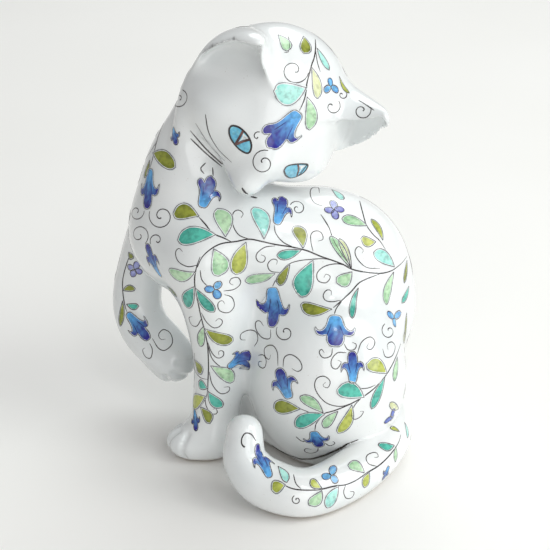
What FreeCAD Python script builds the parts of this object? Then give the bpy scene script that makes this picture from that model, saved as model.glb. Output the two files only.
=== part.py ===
import FreeCAD, Part
import itertools
import os

# A glazed ceramic cat that sits, turns its head over its left shoulder and lifts its right forepaw.
# It is slip-cast in pieces that are luted together with slip: a hollow torso with the neck, a hollow
# head, two ears, the standing foreleg, the raised foreleg and the tail.
#
# Frame: millimetres, +Z up, the chest faces -X, the rump faces +X and the left flank faces -Y.
# The origin is on the foot ring that the cat rests on, under the torso.

Vector = FreeCAD.Vector
Placement = FreeCAD.Placement
Rotation = FreeCAD.Rotation

doc = FreeCAD.newDocument("ceramic_cat")
sheet = doc.addObject("Spreadsheet::Sheet", "dimensions")
sheet_rows = itertools.count(1)

# ---------------------------------------------------------------- driving dimensions

CASTING = {
    "wall": 6.0,  # of every hollow casting
    "vent_radius": 6.0,  # of the hole in the base that lets the kiln gases out
    "vent_x": 52.0,
    "vent_y": 6.0,
    "end_swell": 1.04,  # how much fuller a rounded end is than the limb that it ends
    "room": 500.0,  # side of the block that cuts the castings off at the ground
}

# Each mass is an ellipsoid: its centre, then its half lengths along X, Y and Z.
TORSO_MASSES = {
    "barrel": ((24, 8, 96), (78, 56, 82)),
    "left_haunch": ((37, -40, 61), (56, 50, 69)),
    "right_haunch": ((35, 52, 60), (54, 46, 64)),
    "seat": ((26, 6, 16), (62, 60, 26)),
    "chest": ((-50, 4, 156), (52, 46, 48)),
    "shoulders": ((-16, -16, 162), (50, 38, 31)),
    "withers": ((32, 6, 134), (54, 46, 44)),
}

# The head has a frame of its own: X out through the nose, Y to the cat's left, Z out of the crown.
HEAD_FRAME = {
    "head_x": 0.5,
    "head_y": 2.0,
    "head_z": 255.0,
    "head_turn": -99.0,
    "head_nod": 29.3,
    "head_roll": -41.1,
}
# Upright sections of the head along its X: place along X, height of the centre, half width, half height.
HEAD_SECTIONS = {
    "back": (-50, 4, 16, 14),
    "occiput": (-42, 4, 33, 28),
    "crown": (-24, 4, 46, 39),
    "ears": (-4, 3, 53, 41.5),
    "cheeks": (14, 0, 56, 41.5),
    "brow": (30, -6, 47, 35),
    "eyes": (42, -13, 30, 24),
    "muzzle": (52, -20, 16.5, 16),
    "nose": (62, -22, 10.5, 10.5),
    "nose_tip": (67, -21.5, 5, 5),
}
HEAD_HOLLOW_SECTIONS = ("occiput", "crown", "ears", "cheeks", "brow", "eyes")

# The hole where the neck is luted on joins the hollow of the head to that of the neck.
NECK_OPENING = {
    "neck_opening": ((5, -24, -36), (14, 14, 14)),
}

# A limb is a run of round sections: the centre and the radius at each named place along it.
NECK = {
    "neck_root": (-53, 4, 158, 43),
    "neck_base": (-58, 8, 196, 36.5),
    "throat": (-49, 14, 226, 29),
    "nape": (-33, 14, 252, 29),
}
STANDING_LEG = {
    "left_shoulder": (-48, -30, 150, 30),
    "left_elbow": (-41, -34, 110, 23),
    "left_forearm": (-40, -38, 70, 17.5),
    "left_wrist": (-41, -42, 34, 15.5),
    "left_heel": (-44, -46, 16, 15),
}
STANDING_PAW_MASSES = {
    "left_pads": ((-44, -46, 18), (18, 16, 16)),
    "left_toes": ((-56, -48, 12), (22, 17, 13)),
}
RAISED_LEG = {
    "right_shoulder": (-80, 30, 150, 24),
    "right_elbow": (-95, 34, 118, 18),
    "right_forearm": (-102, 32, 86, 18),
    "right_wrist": (-98, 24, 64, 20),
    "right_heel": (-84, 14, 48, 21),
    "right_toes": (-78, 10, 42, 20),
}
TAIL = {
    "tail_root": (48, 26, 30, 17),
    "tail_rise": (72, 14, 19, 17),
    "tail_rump": (81, -14, 16, 16.5),
    "tail_bend": (79, -54, 16.5, 17),
    "tail_side": (56, -94, 17, 17.5),
    "tail_front": (22, -118, 17.5, 18),
    "tail_turn": (-7, -111, 22, 17.5),
    "tail_curl": (-18, -98, 38, 14.5),
    "tail_tip": (-17, -92, 48, 12.5),
}

# The right ear, in the head's frame, hangs on three points of its rim.
EAR = {
    "ear_inner": (20, -25, 32),
    "ear_outer": (2, -57, -8),
    "ear_tip": (15, -57, 57),
}
EAR_SIZES = {
    "ear_half_width": 27.0,
    "ear_depth": 20.0,
    "ear_wall": 4.5,
    "ear_rim": 3.5,  # how far the rim stands in front of the three points
    "ear_bulge": 7.0,  # how far the outer edge bows out
    "ear_tip_radius": 1.2,
}
EAR_OUTSIDE_STATIONS = (-0.35, 0.0, 0.3, 0.6, 0.85, 1.0)  # 0 at the base line, 1 at the tip
EAR_INSIDE_STATIONS = (-0.02, 0.3, 0.6, 0.8)


def put(alias, value):
    """Writes one driving dimension into the sheet under its alias."""
    row = next(sheet_rows)
    sheet.set(f"A{row}", alias)
    sheet.set(f"B{row}", f"{value:g}")
    sheet.setAlias(f"B{row}", alias)


def put_point(alias, point):
    for axis, value in zip("xyz", point):
        put(f"{alias}_{axis}", value)


def fill_sheet():
    for table in (CASTING, HEAD_FRAME, EAR_SIZES):
        for alias, value in table.items():
            put(alias, value)
    for alias, values in HEAD_SECTIONS.items():
        for part, value in zip(("along", "height", "half_width", "half_height"), values):
            put(f"head_{alias}_{part}", value)
    for table in (TORSO_MASSES, NECK_OPENING, STANDING_PAW_MASSES):
        for alias, (centre, half) in table.items():
            put_point(alias, centre)
            put_point(f"{alias}_half", half)
    for table in (NECK, STANDING_LEG, RAISED_LEG, TAIL):
        for alias, section in table.items():
            put_point(alias, section[:3])
            put(f"{alias}_radius", section[3])
    for alias, point in EAR.items():
        put_point(alias, point)
    doc.recompute()


# ---------------------------------------------------------------- building blocks


def bind_base(thing, alias):
    for axis in "xyz":
        thing.setExpression(f"Placement.Base.{axis}", f"dimensions.{alias}_{axis}")


def ellipsoid(mass, inset=""):
    """One mass. inset is an expression such as " - dimensions.wall" that shrinks it."""
    solid = doc.addObject("Part::Ellipsoid", mass + ("_hollow" if inset else "_mass"))
    bind_base(solid, mass)
    solid.setExpression("Radius1", f"dimensions.{mass}_half_z{inset}")
    solid.setExpression("Radius2", f"dimensions.{mass}_half_x{inset}")
    solid.setExpression("Radius3", f"dimensions.{mass}_half_y{inset}")
    return solid


def fuse(name, parts):
    whole = doc.addObject("Part::MultiFuse", name)
    whole.Shapes = parts
    return whole


def cut(name, base, tool):
    rest = doc.addObject("Part::Cut", name)
    rest.Base = base
    rest.Tool = tool
    return rest


def section_frames(sections):
    """A placement for each section: square to the run, and turned as little as possible."""
    points = [Vector(*section[:3]) for section in sections.values()]
    frames = []
    side = Vector(0, 1, 0)
    for index, point in enumerate(points):
        before = points[max(index - 1, 0)]
        after = points[min(index + 1, len(points) - 1)]
        along = (after - before).normalize()
        side = (side - along * side.dot(along)).normalize()
        frames.append(Placement(point, Rotation(side, Vector(), along, "ZXY")))
    return frames


def limb(name, sections, inset="", rounded_end=True):
    """A smooth run through round sections, with a ball at its free end."""
    rings = []
    suffix = "_hollow" if inset else "_ring"
    for alias, frame in zip(sections, section_frames(sections)):
        ring = doc.addObject("Part::Circle", alias + suffix)
        ring.Placement = frame
        bind_base(ring, alias)
        ring.setExpression("Radius", f"dimensions.{alias}_radius{inset}")
        rings.append(ring)
    run = doc.addObject("Part::Loft", name + "_run")
    run.Sections = rings
    run.Solid = True
    if not rounded_end:
        return run
    last = list(sections)[-1]
    ball = doc.addObject("Part::Sphere", name + "_end")
    bind_base(ball, last)
    ball.setExpression("Radius", f"dimensions.{last}_radius * dimensions.end_swell")
    return fuse(name + "_form", [run, ball])


def ground_block(name, height=""):
    """A block whose top is the ground, or stands above it by the expression height."""
    block = doc.addObject("Part::Box", name)
    for side in ("Length", "Width", "Height"):
        block.setExpression(side, "dimensions.room")
    for axis in "xy":
        block.setExpression(f"Placement.Base.{axis}", "-dimensions.room / 2")
    block.setExpression("Placement.Base.z", f"-dimensions.room{height}")
    return block


def head_placement():
    place = HEAD_FRAME
    turn = Rotation(place["head_turn"], place["head_nod"], place["head_roll"])
    return Placement(Vector(place["head_x"], place["head_y"], place["head_z"]), turn)


def put_on_neck(thing):
    """Moves a piece from the head's frame to its place on the cat."""
    thing.Placement = head_placement()
    bind_base(thing, "head")
    return thing


# ---------------------------------------------------------------- the castings


def build_torso(ground, head_form):
    masses = fuse("torso_masses", [ellipsoid(mass) for mass in TORSO_MASSES])
    neck = limb("neck", NECK, rounded_end=False)
    outside = cut("torso_outside", fuse("torso_with_neck", [masses, neck]), ground)

    shrink = " - dimensions.wall"
    hollows = [ellipsoid(mass, shrink) for mass in TORSO_MASSES]
    neck_hollow = limb("neck_hollow", NECK, shrink, rounded_end=False)
    hollow = fuse("torso_hollow", hollows + [neck_hollow])
    base_inside = ground_block("base_inside", " + dimensions.wall")
    open_hollow = cut("torso_hollow_above_base", hollow, base_inside)

    vent = doc.addObject("Part::Cylinder", "vent_hole")
    vent.setExpression("Radius", "dimensions.vent_radius")
    vent.setExpression("Height", "dimensions.wall * 3")
    vent.setExpression("Placement.Base.x", "dimensions.vent_x")
    vent.setExpression("Placement.Base.y", "dimensions.vent_y")
    vent.setExpression("Placement.Base.z", "-dimensions.wall")

    shell = cut("torso_shell", outside, open_hollow)
    vented = cut("torso_vented", shell, vent)
    head_in_place = doc.addObject("Part::Compound", "head_in_place")
    head_in_place.Links = [head_form]
    put_on_neck(head_in_place)
    torso = cut("torso_casting", vented, head_in_place)
    return torso, outside


def head_run(name, sections, inset=""):
    """A smooth run of upright ellipses, from the back of the head forwards."""
    rings = []
    upright = Rotation(Vector(0, 1, 0), Vector(0, 0, 1), Vector(1, 0, 0), "ZXY")
    for alias in sections:
        ring = doc.addObject("Part::Ellipse", f"{name}_{alias}")
        ring.setExpression("MajorRadius", f"dimensions.head_{alias}_half_width{inset}")
        ring.setExpression("MinorRadius", f"dimensions.head_{alias}_half_height{inset}")
        ring.Placement = Placement(Vector(), upright)
        ring.setExpression("Placement.Base.x", f"dimensions.head_{alias}_along")
        ring.setExpression("Placement.Base.z", f"dimensions.head_{alias}_height")
        rings.append(ring)
    run = doc.addObject("Part::Loft", name)
    run.Sections = rings
    run.Solid = True
    return run


def build_head(head_form):
    hollow = head_run("head_hollow", HEAD_HOLLOW_SECTIONS, " - dimensions.wall")
    openings = [ellipsoid(mass) for mass in NECK_OPENING]
    return put_on_neck(cut("head_casting", head_form, fuse("head_hollow_open", [hollow] + openings)))


def ear_frame():
    """Origin midway along the ear's base line, X inwards, Y out of its cup and Z up the ear."""
    inner, outer, tip = (Vector(*EAR[alias]) for alias in ("ear_inner", "ear_outer", "ear_tip"))
    across = inner - outer
    forward = (tip - inner).cross(outer - inner)
    return Placement((inner + outer) / 2, Rotation(across, forward, Vector(), "XYZ"))


def ear_run(name, stations, inset, lean, height):
    """A smooth run through upright ellipses that shrink to the tip of the ear."""
    rings = []
    for number, station in enumerate(stations):
        ring = doc.addObject("Part::Ellipse", f"{name}_ring_{number}")
        left = 1 - station
        width = f"dimensions.ear_half_width * {left:g} ^ 0.55"
        depth = f"dimensions.ear_depth * {left:g} ^ 0.7"
        ring.setExpression("MajorRadius", f"{width} + dimensions.ear_tip_radius{inset}")
        ring.setExpression("MinorRadius", f"{depth} + dimensions.ear_tip_radius * 0.9{inset}")
        bow = f"dimensions.ear_bulge * sin({180 * max(station, 0):g} deg)"
        ring.setExpression("Placement.Base.x", f"{lean * station:g} - {bow}")
        ring.setExpression("Placement.Base.z", f"{height * station:g}")
        rings.append(ring)
    run = doc.addObject("Part::Loft", name)
    run.Sections = rings
    run.Solid = True
    return run


def build_ear_form():
    """The right ear in the head's frame: a pointed cup that opens forwards and outwards."""
    frame = ear_frame()
    tip = frame.inverse().multVec(Vector(*EAR["ear_tip"]))
    outside = ear_run("ear_outside", EAR_OUTSIDE_STATIONS, "", tip.x, tip.z)
    inside = ear_run("ear_inside", EAR_INSIDE_STATIONS, " - dimensions.ear_wall", tip.x, tip.z)
    front = doc.addObject("Part::Box", "ear_front")
    for side in ("Length", "Width", "Height"):
        front.setExpression(side, "dimensions.room")
    for axis in "xz":
        front.setExpression(f"Placement.Base.{axis}", "-dimensions.room / 2")
    front.setExpression("Placement.Base.y", "dimensions.ear_rim")
    cup = cut("ear_cup", cut("ear_backed", outside, front), inside)
    cup.Placement = frame
    return cup


def build_ears(head_form):
    right_form = build_ear_form()
    left_form = doc.addObject("Part::Mirroring", "left_ear_form")
    left_form.Source = right_form
    left_form.Normal = Vector(0, 1, 0)
    forms = {"right_ear": right_form, "left_ear": left_form}
    return [put_on_neck(cut(name, form, head_form)) for name, form in forms.items()]


def tail_on_haunches(ground):
    """The tail lies against the haunches and the rump, and its root goes in between them."""
    rest = cut("tail_on_ground", limb("tail", TAIL), ground)
    for mass in ("left_haunch", "right_haunch", "barrel", "seat"):
        rest = cut(f"tail_off_{mass}", rest, doc.getObject(f"{mass}_mass"))
    rest.Label = "tail"
    return rest


def build_limbs(ground, torso_outside):
    leg = limb("standing_leg", STANDING_LEG, rounded_end=False)
    paw = [ellipsoid(mass) for mass in STANDING_PAW_MASSES]
    standing = fuse("standing_leg_form", [leg] + paw)
    forms = {
        "standing_foreleg": cut("standing_leg_on_ground", standing, ground),
        "raised_foreleg": limb("raised_leg", RAISED_LEG),
    }
    legs = [cut(name, form, torso_outside) for name, form in forms.items()]
    return legs + [tail_on_haunches(ground)]


def build_cat():
    fill_sheet()
    ground = ground_block("ground")
    head_form = head_run("head_form", HEAD_SECTIONS)
    torso, torso_outside = build_torso(ground, head_form)
    head = build_head(head_form)
    pieces = [torso, head] + build_ears(head_form) + build_limbs(ground, torso_outside)
    doc.recompute()
    return pieces


def check(pieces):
    for thing in doc.Objects:
        if {"Invalid", "Error"} & set(thing.State):
            raise RuntimeError(f"{thing.Name} failed: {thing.State}")
    for piece in pieces:
        shape = piece.Shape
        if shape.isNull() or not shape.isValid():
            raise RuntimeError(f"{piece.Label} has no valid shape")
        print(f"{piece.Label}: {len(shape.Solids)} solid, {shape.Volume / 1000:.1f} cm3")


def export(pieces):
    os.makedirs("parts", exist_ok=True)
    for piece in pieces:
        piece.Shape.exportStep(f"parts/{piece.Label}.step")


cat_pieces = build_cat()
check(cat_pieces)
export(cat_pieces)
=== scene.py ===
import math
import bmesh
import bpy
import numpy as np
from mathutils import Euler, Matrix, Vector
from mathutils.bvhtree import BVHTree
from mathutils.geometry import delaunay_2d_cdt


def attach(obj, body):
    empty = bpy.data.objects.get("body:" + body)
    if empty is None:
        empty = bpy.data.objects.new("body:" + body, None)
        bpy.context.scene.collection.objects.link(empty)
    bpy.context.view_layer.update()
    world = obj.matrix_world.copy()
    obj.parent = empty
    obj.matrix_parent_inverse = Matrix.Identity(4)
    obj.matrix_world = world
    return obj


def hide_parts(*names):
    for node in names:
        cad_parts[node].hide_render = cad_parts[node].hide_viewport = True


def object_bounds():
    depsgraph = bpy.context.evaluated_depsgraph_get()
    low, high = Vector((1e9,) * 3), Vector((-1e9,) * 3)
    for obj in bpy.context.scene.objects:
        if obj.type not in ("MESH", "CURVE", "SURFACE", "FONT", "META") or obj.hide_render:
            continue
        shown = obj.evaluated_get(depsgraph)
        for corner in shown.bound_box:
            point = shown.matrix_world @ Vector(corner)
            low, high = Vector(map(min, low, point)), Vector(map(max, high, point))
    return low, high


# A seated cat of glazed ceramic, painted with vines. Shapes are worked out in millimetres, in the
# frame of the CAD model: +Z up, the chest faces -X, the left flank faces -Y.

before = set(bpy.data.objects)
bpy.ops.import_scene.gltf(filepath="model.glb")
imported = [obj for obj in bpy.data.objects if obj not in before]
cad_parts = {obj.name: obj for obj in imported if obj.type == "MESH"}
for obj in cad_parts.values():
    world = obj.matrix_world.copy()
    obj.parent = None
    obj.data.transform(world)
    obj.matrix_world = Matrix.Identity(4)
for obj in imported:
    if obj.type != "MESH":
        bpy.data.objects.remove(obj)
cad_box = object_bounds()
MM = 0.001

# ================================================================ shape

# Each mass: centre, half lengths, and how softly it runs into what came before it.
TORSO_MASSES = {
    "barrel": ((24, 8, 96), (78, 56, 82), 0),
    "left_haunch": ((37, -40, 61), (56, 50, 69), 18),
    "right_haunch": ((35, 52, 60), (54, 46, 64), 18),
    "seat": ((26, 6, 16), (62, 60, 26), 14),
    "chest": ((-50, 4, 156), (52, 46, 48), 24),
    "shoulders": ((-16, -16, 162), (50, 38, 31), 20),
    "withers": ((32, 6, 134), (54, 46, 44), 20),
}
NECK = ((-53, 4, 158, 43), (-57, 8, 196, 35.5), (-47, 14, 226, 29), (-31, 14, 252, 29))
STANDING_LEG = (
    (-48, -30, 150, 30),
    (-41, -34, 110, 23),
    (-40, -38, 70, 17.5),
    (-42.5, -42, 34, 16.6),
    (-44, -46, 16, 15),
)
STANDING_PAW = {
    "pads": ((-44, -46, 18), (18, 16, 16), 0),
    "toes": ((-56, -48, 12), (22, 17, 13), 8),
}
RAISED_LEG = (
    (-80, 30, 150, 24),
    (-95, 34, 118, 18),
    (-102, 32, 86, 18),
    (-97, 24, 66, 18.5),
    (-83, 14, 53, 18.5),
    (-76, 9, 47, 18),
)
TAIL = (
    (48, 26, 30, 17),
    (72, 14, 19, 17),
    (81, -14, 16, 16.5),
    (79, -54, 16.5, 17),
    (56, -94, 17, 17.5),
    (23, -119, 16.5, 16.8),
    (-6, -113, 20, 17.5),
    (-20, -104, 32, 15.5),
    (-21, -95, 49, 12.5),
)

TOE_TURNS = (-0.75, 0.0, 0.75)  # of the grooves between the toes, fanned over a paw's end
TOE_LIFTS = (-0.5, 0.0, 0.45, 0.9)  # of the knots along a groove
TOE_GROOVE = 1.5  # radius of a groove
TOE_DEPTH = 1.02  # where its middle runs, as a share of the paw's half size

# The head's own frame: X out through the nose, Y to the cat's left, Z out of the crown.
HEAD_CENTRE = np.array((0.5, 2.0, 255.0))
HEAD_TURN = Euler([math.radians(a) for a in (-41.1, 29.3, -99.0)], "XYZ")
HEAD_AXES = np.array(HEAD_TURN.to_matrix())
HEAD_MASSES = {
    "skull": ((-6, 0, 4), (46, 49, 42), 0),
    "face": ((20, 0, -12), (35, 37, 31), 14),
    "left_cheek": ((12, 31, -14), (28, 26, 26), 12),
    "right_cheek": ((12, -31, -14), (28, 26, 26), 12),
    "muzzle": ((45, 1, -21), (21, 14, 14), 10),
    "nose": ((57, 1, -20), (9, 8, 7), 6),
    "bridge": ((47, 1, -8), (13, 9, 16), 9),
}
RUFF = (
    (-46, -6, 282, 4),
    (-53, -3, 268, 6),
    (-58, -4, 254, 7),
    (-61, -7, 240, 8),
    (-61, -10, 224, 9),
    (-56, -10, 208, 10),
)

# The ear on the cat's right hangs on three points of its rim, in the head's frame.
EAR_INNER = np.array((18.0, -24.0, 33.0))
EAR_OUTER = np.array((2.0, -60.0, -8.0))
EAR_TIP = np.array((15.0, -57.0, 57.0))
EAR_DEPTH = 40.0  # depth of the cup at its foot, behind the plane of the three points
EAR_HOLLOW = 21.0  # and of the hollow in it
EAR_WALL = 5.5  # on both sides of the hollow
EAR_BULGE = 7.0  # how far the cup bows outwards half-way up
EAR_SHALLOW = 2.0  # how much shallower the hollow is all the way up
EAR_FLOOR = 7.0  # height of the hollow's floor in the plane of the three points
EAR_SCOOP = 0.6  # how steeply that floor rises towards the back
EAR_LEAST = 0.5  # half width and depth of the hollow at its tip
EAR_RIM = 3.5  # the rim's plane, in front of the three points
EAR_ROUND = 2.0  # half width and depth of the cup at its tip
EAR_WIDTH_TAPER = 0.55  # powers of the height that is left above a level
EAR_DEPTH_TAPER = 0.8
EAR_HOLLOW_TAPER = 0.7
EAR_ROOT = 0.35  # shares of the height: how far the cup goes down into the head,
EAR_TOP = 0.97  # where the cup is cut off,
EAR_HOLLOW_TOP = 0.86  # and where the hollow is

# How softly each part runs into the rest, in millimetres.
SOFTNESS = {
    "neck": 16, "ruff": 14, "standing_leg": 12, "raised_leg": 10, "paw": 8, "head": 6, "ear": 6,
    "toe_lines": 3, "foot": 2.5, "tail": 1,
    "ear_root": 14, "ear_floor": 8, "ear_top": 5, "ear_lip": 4, "ear_rim": 3,
}

GRID = 1.6  # side of a cell of the grid that the glaze surface is traced on
COARSE = 4  # fine cells along a coarse one
BAND = 11.0  # only coarse cells this near to the surface are refined
NEAR = 24.0  # how near to a limb its distance is worked out exactly
GUESS_PACE = 0.25  # knots between the first guesses at a limb's nearest place
NEWTON_ROUNDS = 3
MARGIN = 9.0  # of the grid round the CAD box
LEAST_SLOPE = 0.2  # squared; below it a point settles as if the slope were this steep
DOUBTED = 0.85  # cosine of slope and mesh up to which only the mesh's normals count,
DOUBT_SPAN = 0.12  # and how far above that only the slope's do
RIM_DEPTH = 2.5  # how far the rim of a casting turns in where it is luted on
FAR_OFF = 1e9


def unit(vector):
    vector = np.asarray(vector, float)
    return vector / np.linalg.norm(vector)


def ellipsoid(points, centre, half):
    """Nearly the distance to an ellipsoid."""
    q = (points - np.asarray(centre, float)) / np.asarray(half, float)
    reach = np.linalg.norm(q, axis=1)
    slope = np.linalg.norm(q / np.asarray(half, float), axis=1) + 1e-9
    return reach * (reach - 1) / slope


def soft_union(a, b, k):
    if k == 0:
        return np.minimum(a, b)
    h = np.clip(0.5 + 0.5 * (b - a) / k, 0, 1)
    return b * (1 - h) + a * h - k * h * (1 - h)


def soft_cut(a, b, k):
    """a without b."""
    return -soft_union(-a, b, k)


def spline_pieces(knots):
    """Catmull-Rom cubics through the knots, as four coefficients for each piece."""
    knots = np.asarray(knots, float)
    padded = np.vstack([2 * knots[0] - knots[1], knots, 2 * knots[-1] - knots[-2]])
    p0, p1, p2, p3 = padded[:-3], padded[1:-2], padded[2:-1], padded[3:]
    bend = 2 * p0 - 5 * p1 + 4 * p2 - p3
    return np.stack([2 * p1, p2 - p0, bend, 3 * p1 - p0 - 3 * p2 + p3], 1) / 2


def along(pieces, place):
    """Point, slope and bend of the spline at each place, counted in knots from its start."""
    piece = np.clip(place.astype(int), 0, len(pieces) - 1)
    share = (place - piece)[:, None]
    a, b, c, d = np.moveaxis(pieces[piece], 1, 0)
    point = a + share * (b + share * (c + share * d))
    return point, b + share * (2 * c + 3 * share * d), 2 * c + 6 * share * d


def smooth_path(knots, steps=6):
    pieces = spline_pieces(knots)
    return along(pieces, np.linspace(0, len(pieces), steps * len(pieces) + 1))[0]


def tube(points, knots):
    """Distance to a limb whose knots are x, y, z and radius, or further off, to a box round it."""
    knots = np.asarray(knots, float)
    low = (knots[:, :3] - knots[:, 3:]).min(0)
    high = (knots[:, :3] + knots[:, 3:]).max(0)
    distance = np.linalg.norm(np.maximum(np.maximum(low - points, points - high), 0), axis=1)
    close = distance < NEAR
    if close.any():
        distance[close] = tube_nearby(points[close], knots)
    return distance


def tube_nearby(points, knots):
    """Distance to a limb, from the nearest place of its spline by Newton's method."""
    pieces = spline_pieces(knots)
    nearest = np.full(len(points), FAR_OFF)
    place = np.zeros(len(points))
    for sample in np.arange(0, len(pieces) + 0.1, GUESS_PACE):
        centre = along(pieces, np.array([sample]))[0][0, :3]
        gap = ((points - centre)**2).sum(1)
        closer = gap < nearest
        nearest[closer] = gap[closer]
        place[closer] = sample
    for _ in range(NEWTON_ROUNDS):
        centre, slope, bend = along(pieces, place)
        away = points - centre[:, :3]
        speed = (slope[:, :3]**2).sum(1)
        steepness = np.maximum(speed - (away * bend[:, :3]).sum(1), 0.3 * speed)
        step = (away * slope[:, :3]).sum(1) / steepness
        place = np.clip(place + np.clip(step, -0.2, 0.2), 0, len(pieces))
    centre = along(pieces, place)[0]
    return np.linalg.norm(points - centre[:, :3], axis=1) - centre[:, 3]


def masses(points, table):
    """Distance to a table's ellipsoids, run together in its order."""
    total = np.full(len(points), FAR_OFF)
    for centre, half, softness in table.values():
        total = soft_union(total, ellipsoid(points, centre, half), softness)
    return total


def torso(points):
    return soft_union(masses(points, TORSO_MASSES), tube(points, NECK), SOFTNESS["neck"])


def in_head(points):
    return (points - HEAD_CENTRE) @ HEAD_AXES


def head(points):
    """The skull and face, with the ridge that runs from the right ear down onto the neck."""
    skull = masses(in_head(points), HEAD_MASSES)
    return soft_union(skull, tube(points, RUFF), SOFTNESS["ruff"])


def ear(points, side):
    """The ear's solid cup and its hollow; side is 1 for the cat's right ear and -1 for its left."""
    q = in_head(points) * np.array((1, side, 1))
    middle = (EAR_INNER + EAR_OUTER) / 2
    rise = EAR_TIP - middle
    across = unit(EAR_INNER - EAR_OUTER)
    forward = unit(np.cross(EAR_OUTER - EAR_INNER, EAR_TIP - EAR_INNER))
    forward = forward * np.sign(forward[0])
    share, x, y = np.linalg.solve(np.stack([rise, across, forward], 1), (q - middle).T)
    height = np.linalg.norm(rise)
    left = 1 - np.clip(share, -EAR_ROOT, 1)
    width = np.linalg.norm(EAR_INNER - EAR_OUTER) / 2 * left**EAR_WIDTH_TAPER + EAR_ROUND
    depth = EAR_DEPTH * left**EAR_DEPTH_TAPER + EAR_ROUND
    x = x + EAR_BULGE * np.sin(np.pi * (1 - left))
    solid = (np.hypot(x / width, y / depth) - 1) * np.minimum(width, depth)
    solid = soft_cut(solid, (share + EAR_ROOT) * height, SOFTNESS["ear_root"])
    solid = soft_cut(solid, (EAR_TOP - share) * height, SOFTNESS["ear_top"])
    solid = soft_cut(solid, EAR_RIM - y, SOFTNESS["ear_rim"])
    in_width = np.maximum(width - EAR_WALL, EAR_LEAST)
    in_depth = np.maximum(EAR_HOLLOW * left**EAR_HOLLOW_TAPER - EAR_SHALLOW, EAR_LEAST)
    hollow = (np.hypot(x / in_width, (y - 1) / in_depth) - 1) * np.minimum(in_width, in_depth)
    above_floor = share * height + EAR_SCOOP * y - EAR_FLOOR
    hollow = soft_cut(hollow, above_floor, SOFTNESS["ear_floor"])
    hollow = soft_cut(hollow, (EAR_HOLLOW_TOP - share) * height, SOFTNESS["ear_top"])
    return soft_cut(solid, hollow, SOFTNESS["ear_lip"]), hollow


def toe_lines(points, centre, half, forward, up):
    """Distance to the three grooves that fan over a paw's end."""
    forward = unit(forward)
    up = unit(up - np.dot(up, forward) * forward)
    across = np.cross(up, forward)
    nearest = np.full(len(points), FAR_OFF)
    for turn in TOE_TURNS:
        ahead = math.cos(turn) * forward + math.sin(turn) * across
        arc = []
        for lift in TOE_LIFTS:
            place = centre + TOE_DEPTH * half * (math.cos(lift) * ahead + math.sin(lift) * up)
            arc.append((*place, TOE_GROOVE))
        nearest = np.minimum(nearest, tube(points, arc))
    return nearest


def standing_leg(points):
    paw = masses(points, STANDING_PAW)
    leg = soft_union(tube(points, STANDING_LEG), paw, SOFTNESS["paw"])
    centre, half, _ = STANDING_PAW["toes"]
    lines = toe_lines(points, np.array(centre), np.array(half), np.array((-1, -0.35, 0)),
                      np.array((0, 0, 1)))
    return soft_cut(leg, lines, SOFTNESS["toe_lines"])


def raised_leg(points):
    leg = tube(points, RAISED_LEG)
    ankle, end = np.array(RAISED_LEG[-2]), np.array(RAISED_LEG[-1])
    lines = toe_lines(points, end[:3], end[3], end[:3] - ankle[:3], np.array((-0.3, -1, 0.2)))
    return soft_cut(leg, lines, SOFTNESS["toe_lines"])


def cat(points):
    """Signed distance to the glaze, below zero inside."""
    total = soft_union(torso(points), standing_leg(points), SOFTNESS["standing_leg"])
    total = soft_union(total, raised_leg(points), SOFTNESS["raised_leg"])
    total = soft_union(total, head(points), SOFTNESS["head"])
    for side in (1, -1):
        cup, hollow = ear(points, side)
        total = soft_union(total, cup, SOFTNESS["ear"])
        total = soft_cut(total, hollow, SOFTNESS["ear"])
    total = soft_union(total, tube(points, TAIL), SOFTNESS["tail"])
    return soft_cut(total, points[:, 2], SOFTNESS["foot"])


def part_distances(points):
    """One column for each casting, in the order of CASTINGS."""
    columns = [torso(points), head(points), ear(points, 1)[0] - 2, ear(points, -1)[0] - 2]
    columns += [standing_leg(points), tube(points, RAISED_LEG), tube(points, TAIL)]
    return np.stack(columns, 1)


CASTINGS = ("torso_casting", "head_casting", "right_ear", "left_ear",
            "standing_foreleg", "raised_foreleg", "tail")

# ================================================================ the glaze surface


def banded_field(low, high):
    """The distance field on the fine grid, worked out only near the surface."""
    block = GRID * COARSE
    blocks = np.ceil((high - low) / block).astype(int)
    axes = [low[i] + block * (np.arange(blocks[i]) + 0.5) for i in range(3)]
    centres = np.stack(np.meshgrid(*axes, indexing="ij"), -1).reshape(-1, 3)
    rough = in_chunks(cat, centres)
    shape = blocks * COARSE
    field = rough.reshape(blocks).repeat(COARSE, 0).repeat(COARSE, 1).repeat(COARSE, 2)
    near = (np.abs(rough) < BAND).reshape(blocks)
    near = near.repeat(COARSE, 0).repeat(COARSE, 1).repeat(COARSE, 2)
    cells = np.argwhere(near)
    field[near] = in_chunks(cat, low + GRID * cells)
    return field.reshape(shape)


def in_chunks(function, points, size=20000):
    """The function's values, worked out a block of points at a time to spare memory."""
    blocks = [points[i:i + size] for i in range(0, len(points), size)]
    return np.concatenate([function(block) for block in blocks])


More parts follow.
